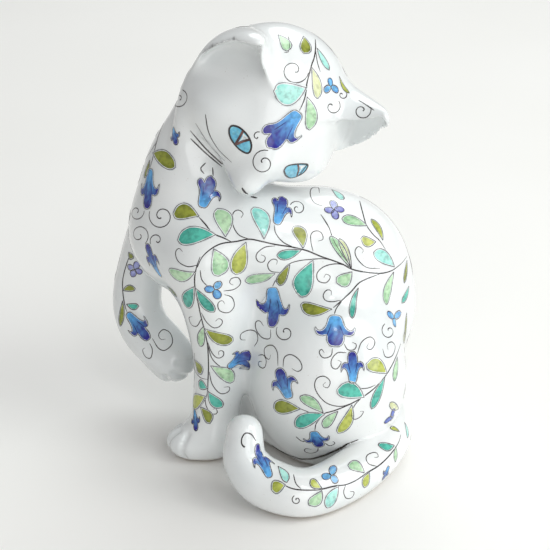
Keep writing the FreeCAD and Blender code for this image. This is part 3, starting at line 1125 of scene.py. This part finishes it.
    def scatter(self, low, high):
        """Loose bells, flowers and tendrils wherever the vines have left a bare patch."""
        for u in np.arange(low[0], high[0], SCATTER_PACE):
            for v in np.arange(low[1], high[1], SCATTER_PACE):
                at = np.array((u, v)) + self.chance.uniform(*STRAY, 2)
                lean = self.chance.uniform(*STRAY)
                if self.room_around(at, *BELL_ROOM):
                    self.bell(at + (lean, 10), at - (lean, 10), 17)
                elif self.room_around(at, *FLOWER_ROOM):
                    self.flower(at, 6, 3, "sky")
                elif self.room_around(at, *CURL_ROOM):
                    self.curl(at + (0, 5), at, 1.2)


def turned_by(direction, angle):
    cosine, sine = math.cos(angle), math.sin(angle)
    return np.array((direction[0] * cosine - direction[1] * sine,
                     direction[0] * sine + direction[1] * cosine))


def outline_share(steps, base, tip):
    """How full a leaf is along its length; a small power makes that end blunt."""
    widest = base / (base + tip)
    return (steps / widest)**base * ((1 - steps) / (1 - widest))**tip


def run_lengths(path):
    """How far along the path each of its points is."""
    return np.append(0, np.cumsum(np.linalg.norm(np.diff(path, axis=0), axis=1)))


def at_lengths(path, stops):
    gone = run_lengths(path)
    return np.stack([np.interp(stops, gone, column) for column in path.T], 1)


def evenly(path):
    """The path again, with a point for each STEP of it."""
    length = run_lengths(path)[-1]
    return at_lengths(path, np.linspace(0, length, max(4, int(length / STEP))))


def apart(found):
    """Places and normals, as two arrays."""
    return np.array([place for place, _ in found]), np.array([normal for _, normal in found])


def triangulate(outline, inner):
    """Spots and triangles that fill a closed outline; the outline's own spots come first."""
    count = len(outline)
    edges = [(i, (i + 1) % count) for i in range(count)]
    spots = [Vector(spot) for spot in np.vstack([outline, inner])]
    flat, _, triangles = delaunay_2d_cdt(spots, edges, [], 1, 1e-6)[:3]
    return np.array(flat), triangles


def spread_inside(outline, spacing):
    """Evenly spaced spots inside a closed outline, clear of its edge."""
    low, high = outline.min(0), outline.max(0)
    spots = []
    for u in np.arange(low[0], high[0], spacing):
        for v in np.arange(low[1], high[1], spacing):
            start, end = outline, np.roll(outline, -1, 0)
            above = (start[:, 1] > v) != (end[:, 1] > v)
            rise = np.where(above, end[:, 1] - start[:, 1], 1)
            crossing = start[:, 0] + (v - start[:, 1]) / rise * (end[:, 0] - start[:, 0])
            inside = (above & (crossing > u)).sum() % 2
            clear = np.linalg.norm(outline - (u, v), axis=1).min() > 0.5 * spacing
            if inside and clear:
                spots.append((u, v))
    return np.array(spots).reshape(-1, 2)


def make_enamel():
    """Glossy overglaze colour: each shape's own paint, mottled as a brush leaves it."""
    material, nodes, links = node_material("overglaze_enamel")
    shader = nodes["Principled BSDF"]
    paint = nodes.new("ShaderNodeVertexColor")
    paint.layer_name = "enamel"
    wash = noise(nodes, links, 330.0, 3.0)
    tone = ramp(nodes, links, wash.outputs["Fac"], [(0.32, grey(0.6)), (0.52, grey(1.0))])
    mottled = nodes.new("ShaderNodeMixRGB")
    mottled.blend_type = "MULTIPLY"
    mottled.inputs["Fac"].default_value = 0.8
    links.new(paint.outputs["Color"], mottled.inputs["Color1"])
    links.new(tone, mottled.inputs["Color2"])
    links.new(mottled.outputs["Color"], shader.inputs["Base Color"])
    make_glossy(nodes, links, 120.0, 0.12, 0.24, 0.3)
    return material


# The display side is painted on a canvas seen from 28 degrees above the cat's left flank: each
# pair is millimetres across and up from the middle of the base.
DISPLAY = (0, 28)
RIGHT_EYE = (
    (-28.0, 205.4), (-24.6, 204.6), (-21.3, 202.4), (-18.0, 198.8), (-16.0, 194.8), (-15.6, 191.0),
    (-17.3, 187.5), (-20.6, 188.2), (-24.0, 190.5), (-26.8, 193.6), (-29.3, 197.4), (-30.3, 201.4),
    (-29.8, 204.2),
)
LEFT_EYE = (
    (6.0, 176.8), (7.3, 179.2), (10.6, 180.6), (15.3, 181.4), (19.3, 181.7), (22.2, 181.4),
    (21.0, 178.2), (18.6, 175.8), (14.6, 173.7), (10.6, 172.7), (7.3, 174.0),
)
WHISKERS = (
    ((-57, 204), (-46.5, 192), (-35, 181.5)),
    ((-57, 199), (-47, 189.5), (-36, 180.5)),
    ((-53, 208), (-44.5, 195), (-33.5, 183)),
    ((-46, 213), (-44, 201.5), (-38, 191), (-29, 182)),
)


def paint_face(brush):
    """Almond eyes with slit pupils, whiskers on the near cheek, and the mouth."""
    brush.patch(brush.flowers, RIGHT_EYE, "iris", 1)
    brush.patch(brush.flowers, ((-23.8, 195.0), (-20.9, 200.3), (-17.2, 196.8)), "white", 2)
    brush.line(RIGHT_EYE + RIGHT_EYE[:1], 1.3, "ink", EVEN, OVER)
    brush.line(((-26.4, 193.0), (-23.5, 197.5), (-20.8, 202.2)), 1.7, "blush", (0.4, 1), OVER)
    brush.line(((-26.2, 193.0), (-21.5, 195.0), (-16.3, 196.3)), 1.7, "blush", (0.4, 1), OVER)
    brush.patch(brush.flowers, LEFT_EYE, "iris", 1)
    brush.patch(brush.flowers, ((16.0, 180.6), (20.8, 180.9), (16.6, 176.6)), "white", 2)
    brush.line(LEFT_EYE + LEFT_EYE[:1], 1.2, "ink", EVEN, OVER)
    brush.line(((15.2, 181.4), (15.9, 178.2), (14.7, 173.9)), 1.3, "blush", (1, 0.6), OVER)
    brush.line(((16.4, 174.8), (19.0, 178.0), (21.4, 181.4)), 0.9, "ink", EVEN, OVER)
    for whisker in WHISKERS:
        brush.line(whisker, 0.95, "ink", (0.5, 0.3))
    brush.line(((-22, 165), (-20, 162), (-16.5, 160.3), (-12, 159.5)), 1.7, "ink", (0.6, 0.2))


def paint_crown(brush):
    """The spray that hangs over the forehead and runs out onto the left ear."""
    brush.stem((27, 265), (27, 258), (26, 251), (24, 245), (22.5, 239), (21, 233), (20, 225),
               (18, 219), (15, 213))
    brush.line(((27, 256), (28, 248), (30, 241)))
    brush.bell((16, 214), (-3, 191), 27, -1, False)
    brush.curl((-4.5, 189), (-7.5, 181), 1.3)
    brush.curl((22, 240), (12.5, 241), -1.15)
    brush.leaf("aqua", (20.5, 230), (-1, 227), 15, 3)
    brush.leaf("mint", (21, 224), (23, 203), 9, 1.5)
    brush.leaf("cream", (24, 244), (28, 223), 7.5, 1)
    brush.leaf("aqua", (28, 258), (36, 243), 6)
    brush.leaf("olive", (19, 266), (19, 253), 8.5)
    brush.leaf("mint", (2, 266), (8, 254), 8)
    brush.line(((9, 265), (9.5, 259), (9, 254), (6, 253)))
    brush.flower((37, 232), 6, 3, "sky")
    brush.curl((42.5, 223), (38, 219), -0.9)
    brush.curl((48, 229), (45, 227.5), -0.9)
    brush.leaf("lime", (43, 240), (50, 229), 4)
    brush.curl((64, 218), (58, 216.5), -1.1)
    brush.line(((56, 224), (61, 220.5), (66, 216.5)), 0.9)
    brush.curl((-10, 201), (-11.5, 198), 0.7)


def paint_neck(brush):
    """Motifs on the near side of the neck, above the chest."""
    brush.curl((-62, 231), (-64.5, 225), -1.3)
    brush.bell((-69, 207), (-66.5, 195), 11)
    brush.stem((-77, 212), (-80, 204), (-82, 196), (-84, 187), (-86, 180))
    brush.line(((-81, 199), (-86, 192), (-91, 186)))
    brush.leaf("olive", (-84, 191), (-67.5, 180), 11)
    brush.leaf("olive", (-86, 186), (-98, 175), 6)
    brush.bell((-85.5, 180), (-88, 152), 21)
    brush.curl((-90, 151), (-96, 150.5), -1.1)
    brush.curl((-86, 150.5), (-77.5, 147), 1.3)
    brush.curl((-89.5, 128.5), (-94, 134.5), 1.2)
    brush.curl((-85.5, 128), (-81, 130.5), -0.9)
    brush.bell((-78.5, 105.5), (-88, 128.5), 14)
    brush.bell((-49.5, 152.5), (-42.5, 173), 19, 1, False)
    brush.line(((-47, 183), (-50.5, 179), (-48, 175.5)), 0.9)
    brush.line(((-42.5, 180), (-42, 174)), 0.9)


def paint_chest(brush):
    """The sprays that meet the main vine at the root of the standing foreleg."""
    brush.leaf("olive", (-51.5, 146.5), (-69.5, 148.5), 11.5)
    brush.leaf("teal", (-40, 134), (-66, 130.5), 12.5, -1.5)
    brush.stem((-51.5, 146), (-47, 141), (-42, 135), (-35, 132), (-29, 129))
    brush.leaf("mint", (-33.5, 132.5), (-39, 152), 12)
    brush.line(((-17.5, 131), (-24.5, 134), (-28.5, 141), (-28.5, 148.5), (-25, 151),
                (-21.5, 148.5), (-23, 145.5)))
    brush.leaf("aqua", (-7.5, 131), (-14.5, 153), 11)
    brush.bell((1, 141), (6, 160), 16, 1, False)
    brush.line(((-0.5, 140.5), (0.5, 135), (5.5, 129), (12, 126)))
    brush.curl((10.5, 155), (15.5, 152.5), -1.2)
    brush.leaf("mint", (-41.5, 124.5), (-38, 106), 12.5)
    brush.leaf("lime", (-19.5, 129), (-26.5, 107), 11.5, -1)
    brush.line(((-52.5, 113.5), (-59, 112.5), (-65.5, 116), (-67.5, 122), (-65, 125),
                (-62.5, 122.5)))
    brush.leaf("mint", (-54, 109), (-72.5, 110), 9, 3)
    brush.flower((-41, 97), 7, 3, "sky")
    brush.line(((-50.5, 110), (-49.5, 103.5), (-45, 98.5)))
    brush.line(((-35, 96), (-28, 97), (-23.5, 101), (-25, 105), (-29.5, 104.5), (-31, 101.5),
                (-28.5, 100)))


def paint_vine(brush):
    """The main vine, from the standing foreleg to the rump."""
    brush.stem((-52.5, 112), (-49, 119), (-43, 124.5), (-36, 128), (-26, 129.5), (-17.5, 131),
               (-9, 129.5), (0, 127.5), (10.5, 126), (17.5, 124.5), (23, 123), (31.5, 119.5),
               (39, 117), (47, 114), (52.5, 111), (61, 109), (73, 108), (80.5, 109.5),
               (85, 112), (90, 116), (93.5, 120))
    brush.line(((-2.5, 97), (0, 102.5), (3.5, 108), (9, 114), (16, 116.5), (24.5, 117.5),
                (32.5, 118), (38.5, 117)))
    brush.leaf("mint", (0, 108), (-20.5, 102.5), 11)
    brush.leaf("olive", (10, 114), (3, 99.5), 7)
    brush.leaf("teal", (18, 124), (1, 120), 7.5, 1)
    brush.leaf("olive", (19, 125), (12.5, 140), 10)
    brush.leaf("teal", (26, 117), (18, 91.5), 14, -2)
    brush.leaf("olive", (39, 83.5), (17.5, 86.5), 9.5, 3)
    brush.leaf("mint", (53, 109), (42, 101.5), 9.5)
    brush.leaf("mint", (52, 111.5), (37.5, 133.5), 6.5)
    brush.leaf("cream", (52.5, 111.5), (44, 132), 5)
    brush.line(((0, 126.5), (-7, 125.5), (-12.5, 121), (-12, 116.5), (-8, 115.5), (-6.5, 119),
                (-9.5, 120.5)))
    brush.line(((4, 108.5), (-3, 109.5), (-5, 114), (-2, 117.5), (1.5, 117), (1, 114)))
    brush.line(((52, 112), (43.5, 114.5), (34.5, 113), (29, 108.5), (29.5, 103), (35, 101.5),
                (38, 105.5), (35, 107.5), (33.5, 105)))
    brush.line(((45, 89.5), (39, 88.5), (34.5, 89.5), (33, 93), (35.5, 96.5), (38.5, 96),
                (38.5, 93)))
    brush.line(((26, 123), (24.5, 129), (24.5, 134.5), (27.5, 137), (31.5, 136), (33, 131.5),
                (29.5, 130)))
    brush.stem((31.5, 148.5), (37, 139.5), (40, 131), (46, 121), (52.5, 112))
    brush.flower((41, 152), 7, 4, "lilac")
    brush.leaf("aqua", (40, 167), (47, 159), 6)
    brush.line(((33, 154.5), (27, 157), (24.5, 163), (26, 168), (30.5, 168.5), (31, 164)))
    brush.leaf("mint", (64, 141), (46, 145.5), 8.5)
    brush.stem((59.5, 159), (61, 151), (63.5, 141.5), (68.5, 134.5), (72.5, 131), (77, 124.5))
    brush.leaf("lime", (75, 131), (67, 146), 6.5)
    brush.leaf("lime", (70, 130), (59, 132), 7.5)
    brush.line(((73, 111.5), (63.5, 112), (57, 117.5), (55, 123), (57.5, 126.5), (61, 124),
                (60, 122)))
    brush.leaf("aqua", (83.5, 112.5), (68, 122.5), 9.5)
    brush.leaf("olive", (93.5, 117.5), (91, 101), 5)
    brush.leaf("mint", (83, 109), (77.5, 86), 8)
    brush.leaf("teal", (95, 99), (89.5, 87), 5.5)


def paint_flank(brush):
    """Bells and tendrils between the main vine and the haunch vine."""
    brush.bell((-2, 98.5), (-2.5, 70.5), 23)
    brush.line(((-3, 69), (-3.5, 63), (-9, 63.5), (-13, 68.5), (-13.5, 74), (-10.5, 75),
                (-8, 71.5)))
    brush.curl((1.5, 71), (7, 67.5), 1.1)
    brush.stem((40, 84.5), (46, 89.5), (52.5, 95.5), (57.5, 101), (63, 104), (72.5, 107.5))
    brush.leaf("teal", (57.5, 98), (52.5, 77), 5)
    brush.bell((41, 79.5), (41, 58), 27)
    brush.line(((40.5, 80), (42, 84), (46, 89)))
    brush.line(((39, 57), (38, 52), (33, 50.5), (30, 54), (31.5, 56.5), (33.5, 54)))
    brush.line(((48.5, 54), (42.5, 54), (38.5, 49.5), (38.5, 44.5), (42, 43), (45, 47.5),
                (42.5, 49)))
    brush.line(((47, 60), (49.5, 56), (54, 56), (55.5, 59.5), (52.5, 61)))
    brush.line(((56, 53), (59, 61), (65, 64.5), (68.5, 61), (66, 56), (62.5, 57), (64, 60)))
    brush.bell((53, 33), (52.5, 55), 16)
    brush.line(((53, 33), (57.5, 29.5), (64, 29.5), (69, 31.5)))
    brush.bell((10, 22), (2.5, 43), 21)
    brush.line(((2, 44.5), (1.5, 54), (-2, 58.5), (-7, 56.5), (-7, 51), (-4, 48.5), (-3, 52)))
    brush.line(((5.5, 44), (6.5, 50.5), (11, 52.5), (16.5, 49), (18.5, 43.5), (15.5, 41),
                (11.5, 43)))
    brush.line(((-11.5, 51), (-8, 51.5), (-6, 47.5), (-7.5, 42.5), (-11, 43.5), (-11.5, 46.5),
                (-9, 47)))
    brush.line(((-14.5, 57), (-12, 61.5), (-13, 67), (-18, 68.5), (-23.5, 66), (-24, 62),
                (-20.5, 61.5)))
    brush.flower((83.5, 77), 6.5, 3, "sky")
    brush.line(((74, 56), (76, 50.5), (81, 51), (83.5, 57), (81, 60.5), (77.5, 59), (78, 55)))
    brush.curl((76, 73), (79, 68), 1.1)
    brush.leaf("cream", (92, 66), (83.5, 57.5), 6)
    brush.leaf("olive", (93.5, 80), (92.5, 60), 4.5)


def paint_haunch(brush):
    """The lower vine, round the haunch above the tail."""
    brush.stem((17.5, 15), (24.5, 12.5), (31.5, 12), (39, 13.5), (47, 16.5), (53.5, 19.5),
               (60.5, 23.5), (68, 29), (75, 36), (80.5, 44), (84.5, 51.5), (88, 58.5))
    brush.leaf("olive", (17.5, 15), (-1, 14.5), 11)
    brush.leaf("mint", (33, 12.5), (17, 24), 8)
    brush.leaf("teal", (34.5, 12), (14, 2), 10.5)
    brush.leaf("mint", (43, 13.5), (33.5, 1.5), 7)
    brush.leaf("lime", (52.5, 18), (43.5, -2.5), 8.5)
    brush.leaf("teal", (61, 23), (42, 29), 12)
    brush.leaf("teal", (75.5, 37), (66.5, 14.5), 7.5)
    brush.leaf("lime", (77, 39), (62, 46), 10.5)
    brush.leaf("mint", (85, 50), (82.5, 33), 6)
    brush.line(((53.5, 19.5), (45, 17), (36, 19), (30, 24.5), (27, 31), (28.5, 36.5),
                (33.5, 38), (37.5, 34.5), (36, 30), (32.5, 31.5), (34.5, 34)))
    brush.line(((59, 22.5), (54.5, 17.5), (52.5, 11.5), (54, 7.5), (58.5, 9), (61, 13),
                (58.5, 13)))
    brush.bell((26.5, -1), (31.5, -13), 18)
    brush.line(((27.5, -0.5), (28.5, 5), (33, 10.5)))
    brush.line(((14.5, -5.5), (19, -9), (23.5, -8)), 0.9)
    brush.line(((30, -13), (29.5, -16.5), (24.5, -18), (20.5, -16.5), (21.5, -14.5),
                (25.5, -15)))
    brush.line(((34.5, -9.5), (38, -12), (42, -10), (40, -8.5)))


def paint_foreleg(brush):
    """The vine that runs down the standing foreleg."""
    brush.stem((-50.5, 119), (-53, 112), (-54.5, 103.5), (-54, 95), (-52.5, 87.5), (-51, 79),
               (-49, 70), (-47, 60), (-46.5, 51), (-46.5, 42), (-47, 33.5), (-47.5, 25),
               (-49, 19.5), (-52.5, 14))
    brush.leaf("teal", (-55, 99), (-61, 84.5), 9.5, -1)
    brush.leaf("teal", (-54, 98), (-41.5, 81.5), 8)
    brush.leaf("olive", (-75, 99), (-67.5, 92), 6)
    brush.line(((-34.5, 93.5), (-29.5, 91.5), (-28, 85.5), (-32, 81), (-38, 82.5), (-39, 87.5),
                (-36, 89.5), (-34.5, 87)))
    brush.line(((-50.5, 81), (-47.5, 75), (-42.5, 70.5), (-38, 71.5), (-36, 75), (-38.5, 77),
                (-41, 75)))
    brush.line(((-50.5, 77), (-54, 71.5), (-58, 72.5), (-59.5, 77.5), (-57, 78)))
    brush.leaf("mint", (-49, 71.5), (-52, 57), 6)
    brush.leaf("olive", (-48.5, 70), (-29, 61), 9.5)
    brush.line(((-46.5, 60), (-44, 53), (-40, 49), (-36, 50.5), (-36, 54), (-39, 54),
                (-39, 51)))
    brush.bell((-33, 42), (-17, 52), 16)
    brush.line(((-46.5, 58), (-44, 49), (-39, 43.5), (-33.5, 41.5)))
    brush.leaf("mint", (-45, 43.5), (-29, 32), 9.5)
    brush.leaf("olive", (-56.5, 47.5), (-51.5, 37), 9)
    brush.line(((-56.5, 52), (-57, 41), (-53, 35), (-47.5, 33.5)))
    brush.leaf("teal", (-47.5, 27), (-58, 31), 7.5)
    brush.leaf("teal", (-47, 25), (-37, 13.5), 8)
    brush.leaf("lime", (-49, 21.5), (-58.5, 12.5), 10)
    brush.leaf("olive", (-53, 13.5), (-46, 1.5), 8)
    brush.line(((-49.5, 21), (-48.5, 14), (-45, 9), (-41, 9), (-41.5, 12.5), (-44, 12)))
    brush.line(((-46, 39), (-44, 30), (-38.5, 23.5), (-33, 24.5), (-32, 28), (-36, 28)))
    brush.bell((-57.5, 11.5), (-56, -4), 9)


def paint_raised_foreleg(brush):
    """The vine that runs down the raised foreleg to a bell above its paw."""
    brush.stem((-105, 121), (-108, 114), (-111, 103.5), (-111, 92.5), (-109.5, 83.5),
               (-108, 79))
    brush.leaf("olive", (-105, 118), (-99, 124), 6)
    brush.flower((-101.5, 111), 6, 4, "lilac")
    brush.leaf("olive", (-111, 95.5), (-101.5, 97), 5)
    brush.leaf("teal", (-108.5, 85.5), (-99.5, 84), 5)
    brush.leaf("olive", (-111.5, 88), (-114, 69), 5)
    brush.bell((-108, 79), (-92, 59.5), 17)
    brush.line(((-89.5, 60.5), (-85, 53.5), (-80, 52), (-75, 57), (-76.5, 64), (-81.5, 67),
                (-85, 63.5), (-83.5, 60), (-80, 60)))
    brush.line(((-91.5, 57), (-89.5, 52), (-91, 46), (-95, 47), (-97, 52), (-95, 53.5)))


def tail_crease(brush):
    """Where the tail meets the haunch, found up each column of the canvas: the path of the painted
    crease shade.
    """
    seam = []
    for u in np.arange(-2, 62, 4.0):
        column = [(u, v) for v in np.arange(-34, 2, 0.5)]
        hits = [(spot, brush.skin.cast(brush.view, *spot)) for spot in column]
        hits = [(spot, hit[0]) for spot, hit in hits if hit]
        places = np.array([place for _, place in hits])
        on_tail = tube(places, TAIL) < torso(places)
        u, v = hits[int(np.argmin(on_tail))][0]
        seam.append((u, v + 0.9))
    return seam


def paint_tail(brush):
    """The vine along the tail, and a dark line of painted shade in the crease where it lies against
    the haunch.
    """
    # painted shade along the crease where the haunch overhangs the tail
    brush.line(tail_crease(brush), 2.0, "crease_shade", (0.2, 0.2), 0.3)
    brush.line(((-13, -6), (-16, -1.5), (-20, -0.5), (-22.5, -4), (-22.5, -8), (-20.5, -10)),
               0.9, "ink", (0.5, 1.4))
    brush.bell((-3.5, -30), (-12, -8), 15)
    brush.leaf("aqua", (2, -23), (8, -33), 5.5)
    brush.stem((2.5, -31.5), (8, -35.5), (15, -37.5), (25.5, -38), (32, -37.5), (40, -36),
               (48, -35.5), (55.5, -33), (63.5, -28.5), (72, -24.5), (80, -18.5),
               (86.5, -11.5), (89, -6))
    brush.leaf("lime", (7, -34.5), (-2.5, -38), 9)
    brush.curl((13, -41.5), (14.5, -44.5), 1.2)
    brush.line(((12.5, -28), (14, -33.5), (17.5, -37)))
    brush.leaf("mint", (31.5, -38.5), (22.5, -48), 8.5)
    brush.leaf("aqua", (43, -36.5), (35, -51), 9)
    brush.leaf("lime", (31.5, -37), (24, -31), 6)
    brush.flower((38, -29), 6.5, 3, "sky")
    brush.leaf("mint", (61, -28.5), (49.5, -23), 8.5)
    brush.leaf("lime", (64.5, -28.5), (61, -39), 7.5)
    brush.line(((48, -35.5), (46.5, -40.5), (48.5, -45), (52.5, -45), (54, -41), (51, -40.5)))
    brush.line(((70, -25), (64.5, -23), (62.5, -19), (65, -16.5), (70, -16), (71.5, -19),
                (68.5, -19)))
    brush.leaf("teal", (83.5, -12.5), (71.5, -11.5), 6.5)
    brush.bell((79, -26), (74.5, -35.5), 10)
    brush.flower((82, 7), 6.5, 3, "violet")
    brush.leaf("lime", (88, -4), (81, -1), 4.5)
    brush.leaf("cream", (87, 12.5), (79.5, 18), 5)
    brush.leaf("aqua", (92.5, 1.5), (94, -9), 4)
    brush.leaf("mint", (84.5, -13.5), (84, -24), 5)


DISPLAY_SIDE = {
    "head": (paint_face, paint_crown),
    "neck": (paint_neck, paint_chest),
    "flank": (paint_vine, paint_flank, paint_haunch),
    "standing_foreleg": (paint_foreleg,),
    "raised_foreleg": (paint_raised_foreleg,),
    "tail": (paint_tail,),
}

# The sides that the picture does not show: the azimuth and rise that each is painted from, the
# knots of its vines, and the lowest and highest place that loose motifs are scattered between.
OTHER_SIDES = {
    "far_flank": (180, 20, (
        ((82, 152), (62, 152), (38, 144), (12, 130), (-16, 119), (-46, 113), (-74, 118), (-90, 108)),
        ((30, 100), (10, 92), (-12, 84), (-36, 80), (-62, 84), (-84, 78)),
        ((30, 58), (12, 42), (-8, 28), (-32, 18), (-58, 22), (-78, 38), (-92, 62)),
        ((0, 168), (-22, 160), (-46, 154), (-66, 144)),
        ((-12, -2), (-30, -8), (-50, -4), (-64, 2)),
    ), (-95, -12), (60, 170)),
    "far_neck": (180, 20, (
        ((52, 238), (66, 218), (76, 198), (84, 178), (90, 160)),
        ((34, 236), (44, 214), (52, 196), (56, 178)),
        ((88, 130), (99, 108), (106, 84), (104, 60), (92, 42)),
    ), (30, 30), (112, 240)),
    "nape": (135, 35, (
        ((-30, 200), (-12, 216), (8, 224), (26, 216), (34, 198)),
        ((-2, 262), (14, 254), (30, 244)),
        ((-56, 184), (-38, 182), (-22, 172), (-14, 160)),
    ), (-50, 160), (45, 270)),
    "back": (90, 15, (
        ((14, 168), (20, 146), (16, 122), (6, 98), (0, 74), (4, 48), (10, 24)),
        ((-26, 150), (-30, 128), (-22, 104), (-30, 80), (-26, 52), (-30, 28)),
        ((40, 112), (36, 88), (40, 62), (34, 38), (42, 18)),
        ((14, -12), (-12, -14), (-40, -12), (-68, -8), (-92, 2), (-112, 10)),
        ((-26, 284), (-6, 274), (14, 262), (28, 242), (30, 220)),
    ), (-45, 12), (55, 280)),
    "throat": (-90, 10, (
        ((6, 232), (0, 212), (-8, 192), (-4, 170), (8, 152), (20, 140)),
        ((-30, 228), (-32, 206), (-28, 184), (-30, 164)),
        ((-30, 148), (-34, 124), (-34, 98), (-30, 74), (-20, 54), (-8, 38)),
        ((30, 128), (36, 104), (38, 80), (38, 58), (41, 38)),
        ((-14, 262), (2, 274), (20, 286), (36, 292)),
    ), (-45, 40), (50, 290)),
}

# ================================================================ the cat

make_camera()
make_lights()
make_floor()
glaze_points, glaze_quads = trace_glaze()
glaze_normals = skin_normals(glaze_points, glaze_quads)
build_castings(glaze_points, glaze_quads, glaze_normals, make_glaze())
glaze_skin = Skin(glaze_points, glaze_quads, glaze_normals)
enamel = make_enamel()
for region, painters in DISPLAY_SIDE.items():
    brush = Brush(region, glaze_skin, *DISPLAY)
    for painter in painters:
        painter(brush)
    brush.finish(enamel)
for region, (azimuth, rise, vines, low, high) in OTHER_SIDES.items():
    brush = Brush(region, glaze_skin, azimuth, rise)
    for vine in vines:
        brush.garland(*vine)
    brush.scatter(low, high)
    brush.finish(enamel)
